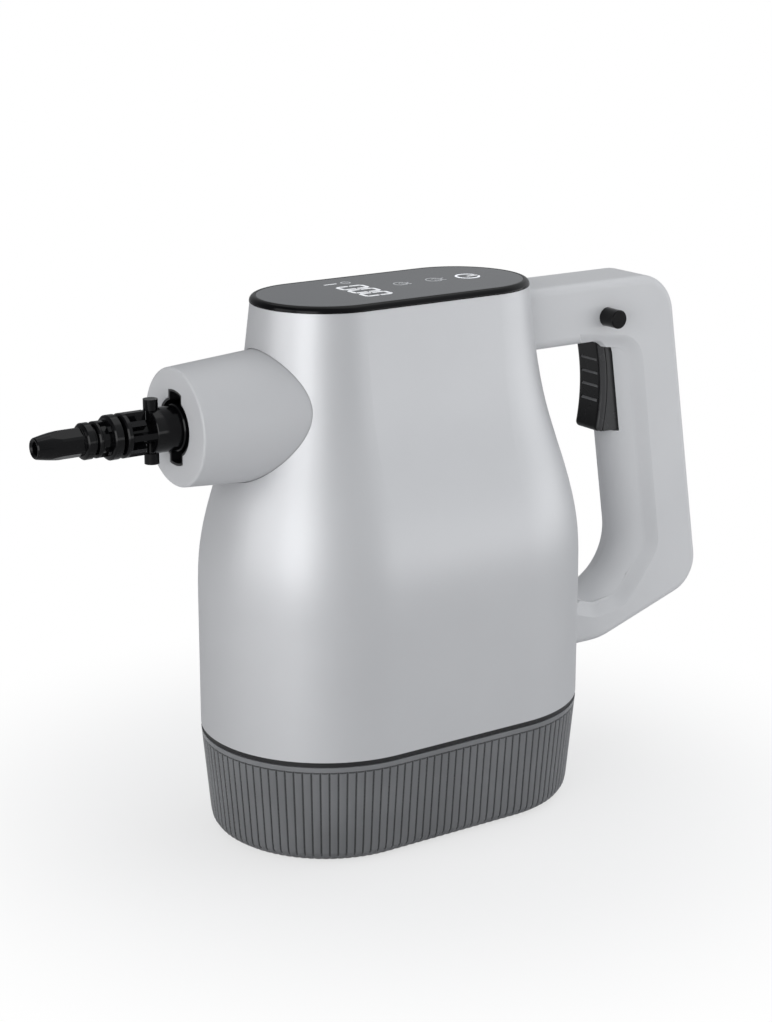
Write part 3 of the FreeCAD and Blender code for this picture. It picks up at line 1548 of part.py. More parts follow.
def make_boiler_mounts():
    plates = []
    for n, x in enumerate(("boiler_front_x + boiler_flange + 6", "boiler_rear_x - 12")):
        plates.append(box(
            "saddle%d" % n, "bracket_thickness", "bracket_width", "bracket_height",
            (x, "-bracket_width / 2", "shelf_z + chassis_plate"),
        ))
        plates.append(box(
            "saddle_foot%d" % n, "10", "bracket_width", "bracket_thickness",
            (x, "-bracket_width / 2", "shelf_z + chassis_plate"),
        ))
    seat = rod(
        "saddle_cut", "boiler_radius + touch_gap", "boiler_rear_x - boiler_front_x + 20",
        ("boiler_front_x - 10", "0", "boiler_z"), "x",
    )
    piece("boiler_bracket", cut("boiler_bracket_cut", fuse("saddles", plates), [seat]))
    cap = rod("thermostat_can", "thermostat_radius", "thermostat_height", ("thermostat_x", "0", "boiler_land_z"))
    tab = box(
        "thermostat_tabs", "2 * thermostat_radius + 8", "4.8", "0.8",
        ("thermostat_x - thermostat_radius - 4", "-2.4", "boiler_land_z + thermostat_height / 2"),
    )
    piece("thermostat", fuse("thermostat_whole", [cap, tab]))
    fuse_rod = rod(
        "fuse_rod", "fuse_radius", "fuse_length",
        ("fuse_x", "0", "boiler_land_z + fuse_radius"), "x",
    )
    clip = box(
        "fuse_clip", "5", "2 * fuse_radius + 1.6", "fuse_radius * 2 + 0.8",
        ("fuse_x + fuse_length / 2 - 2.5", "-fuse_radius - 0.8", "boiler_land_z"),
    )
    clip_hole = rod(
        "fuse_clip_hole", "fuse_radius + running_gap", "7",
        ("fuse_x + fuse_length / 2 - 3.5", "0", "boiler_land_z + fuse_radius"), "x",
    )
    piece("thermal_fuse", fuse_rod)
    piece("fuse_clip", cut("fuse_clip_cut", clip, [clip_hole]))


# Handle loop
def rounded_edges(corners, y):
    # corners are (x, z, radius); returns the edges of an open path
    points = [Vector(x, y, z) for x, z, _ in corners]
    edges = []
    here = points[0]
    for n in range(1, len(points) - 1):
        radius = corners[n][2]
        before = (points[n - 1] - points[n]).normalize()
        after = (points[n + 1] - points[n]).normalize()
        turn = math.pi - before.getAngle(after)
        reach = radius * math.tan(turn / 2)
        start = points[n] + before * reach
        end = points[n] + after * reach
        way = (before + after).normalize()
        middle = points[n] + way * (radius / math.cos(turn / 2) - radius)
        edges.append(segment(here, start))
        edges.append(Part.Arc(start, middle, end).toShape())
        here = end
    edges.append(segment(here, points[-1]))
    return edges


def handle_outer_corners():
    left = v.casing_straight / 2 + v.casing_wall
    return [
        (left, v.handle_top_z, 0),
        (v.handle_rear_top_x, v.handle_top_z, v.handle_top_round),
        (v.handle_rear_low_x, v.handle_rear_low_z, v.handle_low_round),
        (v.handle_chin_x, v.handle_bottom_z, v.handle_chin_round),
        (left, v.handle_bottom_z, 0),
    ]


def handle_inner_corners():
    left = v.casing_straight / 2 + v.casing_wall
    return [
        (left, v.loop_bottom_z, 0),
        (v.loop_heel_x, v.loop_bottom_z, v.loop_heel_round),
        (v.loop_low_x, v.loop_low_z, v.loop_low_round),
        (v.loop_top_x, v.loop_top_z, v.loop_top_round),
        (left, v.loop_top_z, 0),
    ]


def loop_face(y):
    outer = rounded_edges(handle_outer_corners(), y)
    inner = rounded_edges(handle_inner_corners(), y)
    left = v.casing_straight / 2 + v.casing_wall
    down = segment(Vector(left, y, v.handle_bottom_z), Vector(left, y, v.loop_bottom_z))
    up = segment(Vector(left, y, v.loop_top_z), Vector(left, y, v.handle_top_z))
    wire = Part.Wire(outer + [down] + inner + [up])
    return Part.Face(wire), outer, inner


def same_place(edge, model, y):
    a = edge.valueAt((edge.FirstParameter + edge.LastParameter) / 2)
    b = model.valueAt((model.FirstParameter + model.LastParameter) / 2)
    return abs(a.x - b.x) < 0.01 and abs(a.z - b.z) < 0.01 and abs(a.y - y) < 0.01


def starts_with(edge, model):
    a = edge.valueAt(edge.FirstParameter)
    b = model.valueAt(model.FirstParameter)
    return abs(a.x - b.x) < 0.01 and abs(a.z - b.z) < 0.01


def rounded_plate(name, half, edge_out, inner_radii):
    # inner_radii gives the start and end radius for each edge of the loop's inside
    face, outer, inner = loop_face(-half)
    solid = face.extrude(Vector(0, 2 * half, 0))
    models = [(m, edge_out, edge_out) for m in outer if edge_out]
    models += [(m, first, last) for m, (first, last) in zip(inner, inner_radii)]
    base = doc.addObject("Part::Feature", name + "_block")
    base.Shape = solid
    rounding = doc.addObject("Part::Fillet", name)
    rounding.Base = base
    rows = []
    for number, edge in enumerate(base.Shape.Edges, 1):
        for model, first, last in models:
            if same_place(edge, model, half) or same_place(edge, model, -half):
                ends = (first, last) if starts_with(edge, model) else (last, first)
                rows.append((number,) + ends)
    rounding.Edges = rows
    doc.recompute()
    return rounding.Shape


def scoop_corners(grow):
    # the outline of the finger scoop moved outwards by grow, all corners convex
    base = [
        (v.scoop_end_x, v.scoop_start_z, 0.0),
        (v.scoop_top_x, v.scoop_top_z, v.scoop_top_round),
        (v.scoop_low_x, v.scoop_low_z, v.scoop_low_round),
        (v.scoop_heel_x, v.scoop_heel_z, v.scoop_heel_round),
        (v.scoop_toe_x, v.scoop_toe_z, v.scoop_toe_round),
        (v.scoop_end_x, v.scoop_end_z, 0.0),
    ]
    count = len(base)
    moved = []
    for n in range(count):
        here = Vector(base[n][0], 0, base[n][1])
        before = here - Vector(base[n - 1][0], 0, base[n - 1][1])
        after = Vector(base[(n + 1) % count][0], 0, base[(n + 1) % count][1]) - here
        out_before = Vector(-before.z, 0, before.x).normalize()
        out_after = Vector(-after.z, 0, after.x).normalize()
        share = grow / (1 + out_before.dot(out_after))
        point = here + (out_before + out_after) * share
        round_ = base[n][2]
        moved.append((point.x, point.z, round_ + grow if round_ else 0.0))
    return moved


def scoop_wire(grow, y):
    corners = scoop_corners(grow)
    edges = rounded_edges(corners, y)
    first, last = corners[0], corners[-1]
    edges.append(segment(Vector(last[0], y, last[1]), Vector(first[0], y, first[1])))
    return Part.Wire(edges)


def scoop_slope(side):
    # an S-shaped bank from the slim grip out to the full width of the handle
    half, grip = v.handle_width / 2, v.grip_width / 2
    rise = half - grip + 0.15
    wires = []
    for step in range(9):
        share = step / 8
        grow = (share - 0.5) * v.scoop_slope_width
        y = grip + rise * share * share * (3 - 2 * share)
        wires.append(scoop_wire(grow, side * y))
    return Part.makeLoft(wires, True, False)


def scoop_prism(grow, half):
    face = Part.Face(scoop_wire(grow, -half))
    return face.extrude(Vector(0, 2 * half, 0))


def handle_solid():
    half, grip = v.handle_width / 2, v.grip_width / 2
    edge, corner = v.loop_edge, min(v.loop_corner_edge, v.loop_top_round)
    radii = [(edge, edge)] * 4 + [(edge, corner), (corner, edge), (edge, edge)]
    outer = rounded_plate("handle_plate", half, v.handle_edge, radii)
    floor = -v.scoop_slope_width / 2
    outer = outer.cut([scoop_prism(floor, grip), scoop_slope(1), scoop_slope(-1)])
    bead = rounded_plate("handle_bead", grip, 0, [(v.grip_round, v.grip_round)] * 7)
    bead = bead.common(scoop_prism(floor + 2.0, half))
    return outer.fuse(bead).removeSplitter()


def handle_hollow():
    wall = v.handle_wall
    half, grip = v.handle_width / 2, v.grip_width / 2
    face, outer, inner = loop_face(0)
    shrunk = face.makeOffset2D(-wall)

    def block(reach):
        moved = shrunk.copy()
        moved.translate(Vector(0, -reach, 0))
        return moved.extrude(Vector(0, 2 * reach, 0))

    wide = block(half - wall).cut(scoop_prism(v.scoop_slope_width / 2 + 1.0, half))
    reach = grip - wall
    narrow = block(reach)
    edges = []
    for e in narrow.Edges:
        middle = e.valueAt((e.FirstParameter + e.LastParameter) / 2)
        if abs(abs(middle.y) - reach) > 0.01:
            continue
        near = min(m.distToShape(Part.Vertex(Vector(middle.x, 0, middle.z)))[0] for m in inner)
        if near < wall + 0.05 and middle.x > v.casing_straight / 2 + v.casing_wall + wall + 0.1:
            edges.append(e)
    narrow = narrow.makeFillet(min(v.grip_round - wall, reach - 0.05), edges)
    return wide.fuse(narrow)


def handle_boss_places():
    return [
        (v.neck_boss_x, v.neck_boss_z),
        (v.crown_boss_x, v.crown_boss_z),
        (v.heel_boss_x, v.heel_boss_z),
        (v.toe_boss_x, v.toe_boss_z),
    ]


def switch_seat(side):
    width = v.handle_width / 2 - v.handle_wall + 0.5 - v.switch_width / 2 - v.touch_gap
    y = v.switch_width / 2 + v.touch_gap
    low = v.switch_z - v.switch_height / 2 + 2
    corner = Vector(v.switch_x + 1, y if side > 0 else -y - width, low)
    return Part.makeBox(v.switch_length - 2, width, v.switch_height - 4, corner)


def gland_place():
    rise = (v.handle_rear_low_z - v.handle_bottom_z) / (v.handle_rear_low_x - v.handle_chin_x)
    z = v.handle_bottom_z + (v.gland_x - v.handle_chin_x) * rise
    inward = Vector(-rise, 0, 1).normalize()
    return Vector(v.gland_x, 0, z), inward


def trigger_slot():
    side = v.trigger_width / 2 + v.trigger_side_gap
    low = v.trigger_low_z - v.trigger_slot_drop
    high = v.trigger_top_z + v.trigger_side_gap
    front = v.trigger_top_x - 1.0
    mouth = Part.makeBox(v.trigger_back_x + 7 - front, 2 * side, high - low, Vector(front, -side, low))
    eye = v.trigger_eye_radius + 0.6
    near = min(v.trigger_pivot_x - eye, v.trigger_top_x + 1.5)
    room = Part.makeBox(
        v.trigger_back_x + 3 - near, 2 * side, v.trigger_pivot_z + eye - high + 1,
        Vector(near, -side, high - 1),
    )
    return mouth.fuse(room)


def block_seat():
    low = v.handle_bottom_z + 1.0
    height = v.handle_wall + 0.7
    return Part.makeBox(
        v.block_length - 3, v.handle_width - 4, height,
        Vector(v.block_x - v.block_length + 1.5, 2 - v.handle_width / 2, low),
    )


def make_handle():
    solid = handle_solid()
    hollow = handle_hollow()
    sleeve = casing_solid(v.touch_gap, v.handle_bottom_z - 10, 5.0)
    shell = solid.cut(hollow).cut(sleeve)
    half = v.handle_width / 2
    inner_half = half - v.handle_wall + 0.5
    extras = []
    for low, high, top in (
        (v.top_tenon_low_z, v.top_tenon_high_z, True), (v.low_tenon_low_z, v.low_tenon_high_z, False),
    ):
        height = (low + high) / 2
        wall_x = v.casing_straight / 2 + casing_radius(height)
        inside = v.chassis_rear_x + v.chassis_plate if top else v.deck_post_x + v.deck_post_thickness
        inside += v.touch_gap
        tenon = Part.makeBox(
            wall_x + 4 - inside, v.tenon_width, high - low, Vector(inside, -v.tenon_width / 2, low),
        )
        plug = Part.makeBox(
            v.plug_length, 2 * inner_half, high - low, Vector(wall_x + 1.5, -inner_half, low),
        )
        arm_low = v.loop_top_z if top else v.handle_bottom_z
        arm_high = v.handle_top_z if top else v.loop_bottom_z
        web = Part.makeBox(
            v.plug_length - 1, v.tenon_width, arm_high - arm_low - 2.4,
            Vector(wall_x + 2.5, -v.tenon_width / 2, arm_low + 1.2),
        )
        extras += [tenon, plug.common(solid), web.common(solid)]
    shaft = v.handle_screw_radius + v.running_gap
    for x, z in handle_boss_places():
        post = Part.makeCylinder(v.handle_boss_radius, 2 * half, Vector(x, -half, z), Y_AXIS)
        extras.append(post.common(solid))
    extras += [seat.common(solid) for seat in (switch_seat(1), switch_seat(-1), block_seat())]
    for side in (1, -1):
        reach = half - 1.0 - (v.trigger_width / 2 + v.trigger_side_gap)
        y = v.trigger_width / 2 + v.trigger_side_gap
        start = Vector(v.trigger_pivot_x, side * y, v.trigger_pivot_z)
        boss = Part.makeCylinder(v.trigger_pin_radius + 2, reach, start, Vector(0, side, 0))
        extras.append(boss.common(solid))
    cradle_z = v.lock_z + v.lock_radius + v.lock_gap + v.detent_thickness + 0.3
    cradle = Part.makeBox(
        v.detent_width, 2 * half - 2, v.handle_top_z - 1.2 - cradle_z,
        Vector(v.lock_x - v.detent_width / 2, -half + 1, cradle_z),
    )
    extras.append(cradle.cut(Part.makeBox(
        v.detent_width + 2, 12, 12, Vector(v.lock_x - v.detent_width / 2 - 1, -6, v.switch_loom_z - 5),
    )))
    shell = shell.fuse(extras)
    tools = [trigger_slot()]
    tools.append(Part.makeCylinder(
        v.lock_radius + v.lock_gap, 2 * half + 2, Vector(v.lock_x, -half - 1, v.lock_z), Y_AXIS,
    ))
    pin_reach = v.trigger_width / 2 + 5.0
    tools.append(Part.makeCylinder(
        v.trigger_pin_radius + v.running_gap, 2 * pin_reach,
        Vector(v.trigger_pivot_x, -pin_reach, v.trigger_pivot_z), Y_AXIS,
    ))
    for x, z in handle_boss_places():
        tip = v.handle_screw_tip_gap - half - 1
        tools.append(Part.makeCylinder(shaft, half - tip, Vector(x, tip, z), Y_AXIS))
        tools.append(Part.makeCylinder(
            v.handle_screw_head + 0.2, v.handle_screw_sink, Vector(x, half - v.handle_screw_sink, z), Y_AXIS,
        ))
    for low, high, top in (
        (v.top_tenon_low_z, v.top_tenon_high_z, True), (v.low_tenon_low_z, v.low_tenon_high_z, False),
    ):
        height = (low + high) / 2
        inside = v.chassis_rear_x if top else v.deck_post_x
        for side in (1, -1):
            tools.append(along_x(
                v.tenon_screw_radius + v.running_gap, inside, inside + v.tenon_screw_length + 3,
                side * v.tenon_screw_y, height,
            ))
    place_, inward = gland_place()
    tools.append(Part.makeCylinder(v.gland_radius + v.touch_gap, 12, place_ - inward * 4, inward))
    reach = v.loom_radius + 0.4
    tools.append(along_x(reach, v.chassis_rear_x, v.lock_x + 20, 0, v.switch_loom_z))
    mains_z = (v.low_tenon_low_z + v.low_tenon_high_z) / 2
    tools.append(along_x(reach, v.deck_post_x, v.handle_chin_x, 0, mains_z))
    shell = shell.cut(tools)
    seam = v.handle_seam / 2
    reach = 2 * v.handle_rear_low_x
    right = shell.common(Part.makeBox(reach, reach, reach, Vector(0, seam, 0)))
    left = shell.common(Part.makeBox(reach, reach, reach, Vector(0, -reach - seam, 0)))
    shaped("handle_left", keep_largest(left))
    shaped("handle_right", keep_largest(right))
    screws = []
    for x, z in handle_boss_places():
        face = half - v.handle_screw_sink
        head = Part.makeCylinder(v.handle_screw_head, v.handle_screw_head_height, Vector(x, face, z), Y_AXIS)
        tip = v.handle_screw_tip_gap - half
        shank = Part.makeCylinder(v.handle_screw_radius, face - tip, Vector(x, tip, z), Y_AXIS)
        slot = Part.makeBox(
            2 * v.handle_screw_head, 1.0, 0.9,
            Vector(x - v.handle_screw_head, face + v.handle_screw_head_height - 0.9, z - 0.45),
        )
        screws.append(head.fuse(shank).removeSplitter().cut(slot))
    shaped("handle_screws", Part.makeCompound(screws))
    tenon_screws = []
    for low, high, top in (
        (v.top_tenon_low_z, v.top_tenon_high_z, True), (v.low_tenon_low_z, v.low_tenon_high_z, False),
    ):
        face = v.chassis_rear_x if top else v.deck_post_x
        for side in (1, -1):
            y, z = side * v.tenon_screw_y, (low + high) / 2
            head = along_x(v.tenon_screw_head, face - v.tenon_screw_head_height, face, y, z)
            shank = along_x(v.tenon_screw_radius, face, face + v.tenon_screw_length, y, z)
            tenon_screws.append(head.fuse(shank).removeSplitter())
    shaped("tenon_screws", Part.makeCompound(tenon_screws))


def keep_largest(shape):
    solids = sorted(shape.Solids, key=lambda s: s.Volume)
    return solids[-1]


# Trigger, its pin, spring and switch
def front_arc(shift, y):
    low = Vector(v.trigger_low_x + shift, y, v.trigger_low_z + 2.5)
    high = Vector(v.trigger_top_x + shift, y, v.trigger_top_z)
    middle = Vector(v.trigger_mid_x + shift, y, (v.trigger_low_z + v.trigger_top_z) / 2)
    return low, high, Part.Arc(low, middle, high).toShape()


def trigger_groove(front, share):
    # a finger groove across the pad, square above and sloping out below
    z = v.trigger_low_z + v.trigger_height * share
    bulge = 1 if v.trigger_mid_x > front.Center.x else -1
    x = front.Center.x + bulge * math.sqrt(front.Radius ** 2 - (z - front.Center.z) ** 2)
    side = v.trigger_width / 2 - v.trigger_edge - 0.5
    deep, fall = v.trigger_groove, v.trigger_groove_fall
    corners = [
        Vector(x + deep, -side, z + fall / 2), Vector(x - deep, -side, z + fall / 2),
        Vector(x - deep, -side, z - 1.5 * fall), Vector(x + deep, -side, z + fall / 2),
    ]
    return Part.Face(Part.makePolygon(corners)).extrude(Vector(0, 2 * side, 0))


def trigger_seam(y):
    # the fine seam between the pad and a cheek
    low, high, arc = front_arc(v.trigger_pad, y)
    low_in, high_in, arc_in = front_arc(v.trigger_pad + v.trigger_seam, y)
    foot, foot_in = Vector(low.x, y, v.trigger_low_z - 1), Vector(low_in.x, y, v.trigger_low_z - 1)
    outline = Part.Wire([
        arc, segment(high, high_in), arc_in, segment(low_in, foot_in), segment(foot_in, foot),
        segment(foot, low),
    ])
    return Part.Face(outline).extrude(Vector(0, v.trigger_seam_depth, 0))


def make_trigger():
    half = v.trigger_width / 2
    inner = half - v.trigger_step
    low, high, arc = front_arc(0.0, -half)
    low_in, high_in, arc_in = front_arc(v.trigger_pad, -half)
    toe = Vector(low.x + 2.2, -half, v.trigger_low_z)
    toe_mid = Vector(low.x + 0.6, -half, v.trigger_low_z + 0.7)
    toe_in = Vector(low_in.x, -half, v.trigger_low_z)
    pad_wire = Part.Wire([
        arc,
        segment(high, high_in),
        arc_in,
        segment(low_in, toe_in),
        segment(toe_in, toe),
        Part.Arc(toe, toe_mid, low).toShape(),
    ])
    pad_face = Part.Face(pad_wire)
    pad_solid = pad_face.extrude(Vector(0, 2 * half, 0))
    rims = []
    for e in pad_solid.Edges:
        middle = e.valueAt((e.FirstParameter + e.LastParameter) / 2)
        on_side = abs(abs(middle.y) - half) < 0.01
        arc_like = any(
            abs(middle.x - m.valueAt((m.FirstParameter + m.LastParameter) / 2).x) < 0.01
            and abs(middle.z - m.valueAt((m.FirstParameter + m.LastParameter) / 2).z) < 0.01
            for m in (arc, Part.Arc(toe, toe_mid, low).toShape())
        )
        if on_side and arc_like:
            rims.append(e)
    pad_solid = pad_solid.makeFillet(v.trigger_edge, rims)
    pivot = Vector(v.trigger_pivot_x, -inner, v.trigger_pivot_z)
    b_low, b_high, b_arc = front_arc(v.trigger_pad - 0.4, -inner)
    b_toe = Vector(b_low.x, -inner, v.trigger_low_z)
    back_low = Vector(v.trigger_back_x + v.trigger_skirt, -inner, v.trigger_low_z - 0.5)
    back_high = Vector(
        v.trigger_pivot_x + v.trigger_eye_radius + 1.0 + v.trigger_skirt, -inner, v.trigger_pivot_z - 8,
    )
    neck = Vector(v.trigger_pivot_x + v.trigger_eye_radius * 0.98, -inner, v.trigger_pivot_z)
    front_neck = Vector(v.trigger_pivot_x - v.trigger_eye_radius * 0.98, -inner, v.trigger_pivot_z)
    body_wire = Part.Wire([
        b_arc,
        segment(b_high, front_neck),
        segment(front_neck, neck),
        segment(neck, back_high),
        segment(back_high, back_low),
        segment(back_low, b_toe),
        segment(b_toe, b_low),
    ])
    body = Part.Face(body_wire).extrude(Vector(0, 2 * inner, 0))
    eye = Part.makeCylinder(v.trigger_eye_radius, 2 * inner, pivot, Y_AXIS)
    finger = Part.makeBox(
        v.finger_length + 4, 8, v.finger_height,
        Vector(v.trigger_back_x - 4, -4, v.finger_z - v.finger_height / 2),
    )
    whole = pad_solid.fuse([body, eye, finger])
    tools = [Part.makeCylinder(
        v.trigger_pin_radius + v.running_gap, 2 * half + 2, pivot - Vector(0, 2, 0), Y_AXIS,
    )]
    gap = v.spring_coil_width / 2 + v.fit_gap
    tools.append(Part.makeBox(
        2 * v.trigger_eye_radius + v.spring_slot_margin, 2 * gap, 2 * v.trigger_eye_radius + 3,
        Vector(v.trigger_pivot_x - v.trigger_eye_radius - 2, -gap, v.trigger_pivot_z - v.spring_coil_radius - 0.6),
    ))
    tools += [trigger_groove(arc.Curve, share) for share in (0.755, 0.61, 0.475, 0.325)]
    tools += [trigger_seam(-inner), trigger_seam(inner - v.trigger_seam_depth)]
    shaped("trigger", keep_largest(whole.cut(tools).removeSplitter()))
    reach = half + v.trigger_side_gap + 4.0
    pin = Part.makeCylinder(
        v.trigger_pin_radius, 2 * reach, Vector(v.trigger_pivot_x, -reach, v.trigger_pivot_z), Y_AXIS,
    )
    shaped("trigger_pin", pin)
    coil_half = v.spring_coil_width / 2
    start = Vector(v.trigger_pivot_x, -coil_half, v.trigger_pivot_z)
    coil = Part.makeCylinder(v.spring_coil_radius, 2 * coil_half, start, Y_AXIS)
    hole = Part.makeCylinder(v.trigger_pin_radius + v.running_gap, 2 * coil_half, start, Y_AXIS)
    leg = Part.makeBox(
        v.spring_leg_length, 0.9, 0.9,
        Vector(v.trigger_pivot_x, -0.45, v.trigger_pivot_z + v.spring_coil_radius - 0.95),
    )
    shaped("trigger_spring", coil.fuse(leg).cut(hole))


def make_switch():
    low = v.switch_z - v.switch_height / 2
    case = Part.makeBox(
        v.switch_length, v.switch_width, v.switch_height, Vector(v.switch_x, -v.switch_width / 2, low),
    )
    hole = along_x(
        v.plunger_radius + v.running_gap, v.switch_x - 1, v.switch_x + v.plunger_depth + v.plunger_travel, 0,
        v.finger_z,
    )
    tabs = []
    for z in (low + 4, v.switch_z, low + v.switch_height - 4):
        tabs.append(Part.makeBox(
            5.0, 4.8, 0.8, Vector(v.switch_x + v.switch_length - 0.4, -2.4, z - 0.4),
        ))
    shaped("microswitch", case.cut(hole).fuse(tabs).removeSplitter())
    shaped("switch_plunger", along_x(
        v.plunger_radius, v.switch_x - v.plunger_reach, v.switch_x + v.plunger_depth, 0, v.finger_z,
    ))


def make_lock():
    half = v.handle_width / 2
    start = -half - v.lock_proud
    end = half - 0.5
    pin = Part.makeCylinder(v.lock_radius, end - start, Vector(v.lock_x, start, v.lock_z), Y_AXIS)
    near = [e for e in pin.Edges if e.Closed and abs(e.BoundBox.YMax - start) < 0.01]
    pin = pin.makeFillet(0.5, near)
    waist = Part.makeCylinder(
        v.lock_radius + 1, v.lock_waist_width,
        Vector(v.lock_x, -v.lock_waist_width / 2, v.lock_z), Y_AXIS,
    )
    core = Part.makeCylinder(
        v.lock_waist, v.lock_waist_width,
        Vector(v.lock_x, -v.lock_waist_width / 2, v.lock_z), Y_AXIS,
    )
    shaped("lock_button", pin.cut(waist.cut(core)))
    z = v.lock_z + v.lock_radius + v.lock_gap + 0.2
    leaf = Part.makeBox(
        v.detent_width, 10.0, v.detent_thickness, Vector(v.lock_x - v.detent_width / 2, -half + v.handle_wall + 0.2, z),
    )
    shaped("lock_detent", leaf)


# Cord inlet, clamp and wiring
def make_inlet():
    place_, inward = gland_place()
    body = Part.makeCylinder(v.gland_radius, v.handle_wall + 2, place_ + inward * 0.1, inward)
    flange = Part.makeCylinder(
        v.gland_flange, v.gland_flange_height, place_ + inward * (v.handle_wall + 0.1), inward,
    )
    hole = Part.makeCylinder(v.gland_bore, 20, place_ - inward * 5, inward)
    shaped("cord_gland", body.fuse(flange).cut(hole).removeSplitter())
    base = place_ + inward * (v.handle_wall + 0.1 + v.gland_flange_height + 0.1)
    clamp = Part.makeBox(
        v.clamp_length, v.clamp_width, v.clamp_thickness,
        Vector(-v.clamp_length / 2, -v.clamp_width / 2, 0),
    )
    clamp = clamp.cut(Part.makeCylinder(v.gland_bore, 10, Vector(0, 0, -1), Z_AXIS))
    angle = math.degrees(math.atan2(inward.x, inward.z))
    clamp.rotate(Vector(), Y_AXIS, angle)
    clamp.translate(base)
    shaped("cord_clamp", clamp)
    block = Part.makeBox(
        v.block_length, v.block_width, v.block_height,
        Vector(v.block_x - v.block_length, -v.block_width / 2, v.handle_bottom_z + v.handle_wall + 1.85),
    )
    shaped("terminal_block", block)
    mains_z = (v.low_tenon_low_z + v.low_tenon_high_z) / 2
    mains = along_x(
        v.loom_radius, v.deck_post_x + v.deck_post_thickness + v.fit_gap,
        v.block_x - v.block_length - 0.2, 0, mains_z,
    )
    shaped("mains_loom", mains)
    top = v.switch_z + v.switch_height / 2 + 0.2
    x = v.switch_x + v.loom_radius + 1.3
    points = [
        Vector(x, 0, top),
        Vector(x, 0, v.switch_loom_z),
        Vector(v.chassis_rear_x + v.chassis_plate + 0.3, 0, v.switch_loom_z),
    ]
    shaped("switch_loom", bent_tube(points, v.loom_radius, v.loom_bend))


# Build every piece
make_bezel()
make_window()
make_board()
make_casing()
make_nose()
make_socket()
make_nozzle_tip()
make_nozzle_body()
make_bayonet_pins()
make_steam_pipe()
make_tank()
make_deck()
make_chassis_screws()
make_chassis()
make_pump()
make_hoses()
make_intake()
make_boiler()
make_boiler_mounts()
make_handle()
make_trigger()
make_switch()
make_lock()
make_inlet()
doc.recompute()

# Checks before anything is written
for obj in doc.Objects:
    if "Invalid" in obj.State or "Error" in obj.State:
        raise RuntimeError("%s is %s" % (obj.Name, obj.State))
for label, obj in PIECES.items():
    if obj.Shape.isNull() or not obj.Shape.isValid():
        raise RuntimeError("%s has no valid shape" % label)
    if not obj.Shape.Solids:
        raise RuntimeError("%s has no solid" % label)

os.makedirs("parts", exist_ok=True)
for label, obj in PIECES.items():
    obj.Shape.exportStep("parts/%s.step" % label)
print(len(PIECES), "pieces")
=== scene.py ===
import math

import bmesh
import bpy
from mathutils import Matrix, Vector


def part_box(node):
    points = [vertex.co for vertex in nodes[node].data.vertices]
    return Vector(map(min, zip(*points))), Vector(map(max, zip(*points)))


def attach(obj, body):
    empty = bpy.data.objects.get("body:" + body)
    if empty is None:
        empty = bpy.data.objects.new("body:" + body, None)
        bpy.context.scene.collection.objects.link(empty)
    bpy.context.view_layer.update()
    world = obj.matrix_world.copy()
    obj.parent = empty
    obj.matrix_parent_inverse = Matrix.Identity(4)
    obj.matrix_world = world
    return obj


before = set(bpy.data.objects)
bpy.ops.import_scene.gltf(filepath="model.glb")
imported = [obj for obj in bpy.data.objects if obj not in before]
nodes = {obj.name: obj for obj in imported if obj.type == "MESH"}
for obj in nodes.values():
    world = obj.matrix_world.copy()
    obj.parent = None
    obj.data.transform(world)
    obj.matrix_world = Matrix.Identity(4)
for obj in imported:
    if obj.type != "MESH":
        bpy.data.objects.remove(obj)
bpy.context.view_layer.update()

# Lengths are in metres, angles in degrees, lamp powers in watts

# Camera at the photograph's viewing angle
CAMERA_PLACE = (-0.57739, -0.83973, 0.43326)
CAMERA_FORWARD = (0.5431, 0.7943, -0.2724)
CAMERA_LENS = 80.0
SENSOR_WIDTH = 36.0
CAMERA_REACH = 100.0

# Share of a noise field's range that the looks use
NOISE_LOW = 0.3
NOISE_HIGH = 0.7

# Water tank: half of its straight length, its flutes and the smooth collar above them
TANK_HALF_STRAIGHT = 0.0366
FLUTE_PITCH = 0.0040667
FLUTE_ANGLE = 4.0
FLUTE_FOOT = (0.0030, 0.0040)
FLUTE_HEAD = (0.0462, 0.0458)
DASH_FOOT = (0.0452, 0.0455)
DASH_HEAD = (0.0462, 0.0459)
COLLAR_FOOT = (0.0460, 0.0463)

# Trigger: half width where the pad ends and the cheek begins
TRIGGER_CHEEK = (0.0070, 0.0079)

# Panel marks: thickness, places and stroke widths on the glass
MARK_SINK = 0.00005
MARK_RISE = 0.00008
DIGIT_X = -0.0173
DIGIT_ROWS = (0.0062, -0.0032, -0.0126)
DIGIT_TALL = 0.0066
DIGIT_WIDE = 0.0066
DIGIT_THICK = 0.0016
DIGIT_GAP = 0.0003
SIGN_Y = 0.0181
SIGN_BAR = (-0.0248, -0.0184)
SIGN_BAR_WIDTH = 0.0009
SIGN_RING_X = -0.0133
SIGN_RING_RADIUS = 0.0021
SIGN_RING_WIDTH = 0.0007
ICON_ROW_Y = 0.0008
ICON_RAISED_Y = 0.0020
ICON_WIDTH = 0.0005
ICONS = ((0.0062, 0.0032), (0.0248, 0.0038))
POWER_X = 0.0431
POWER_RADIUS = 0.0054
POWER_RING_WIDTH = 0.0010
POWER_STEM_WIDTH = 0.0011

# Floor: half width, depth below the object, and where its soft shade fades to white
FLOOR_REACH = 30.0
FLOOR_SINK = 0.0004
SHADE_FADE = (0.10, 0.28)
SHADE_WHITE = (0.66, 1.0)

# Brightness of the studio by direction round the object
STUDIO_LEVELS = (
    (-180, 0.18), (-150, 0.52), (-120, 0.44), (-88, 0.36), (-50, 0.92),
    (0, 1.04), (36, 0.34), (90, 0.28), (150, 0.12), (180, 0.18),
)

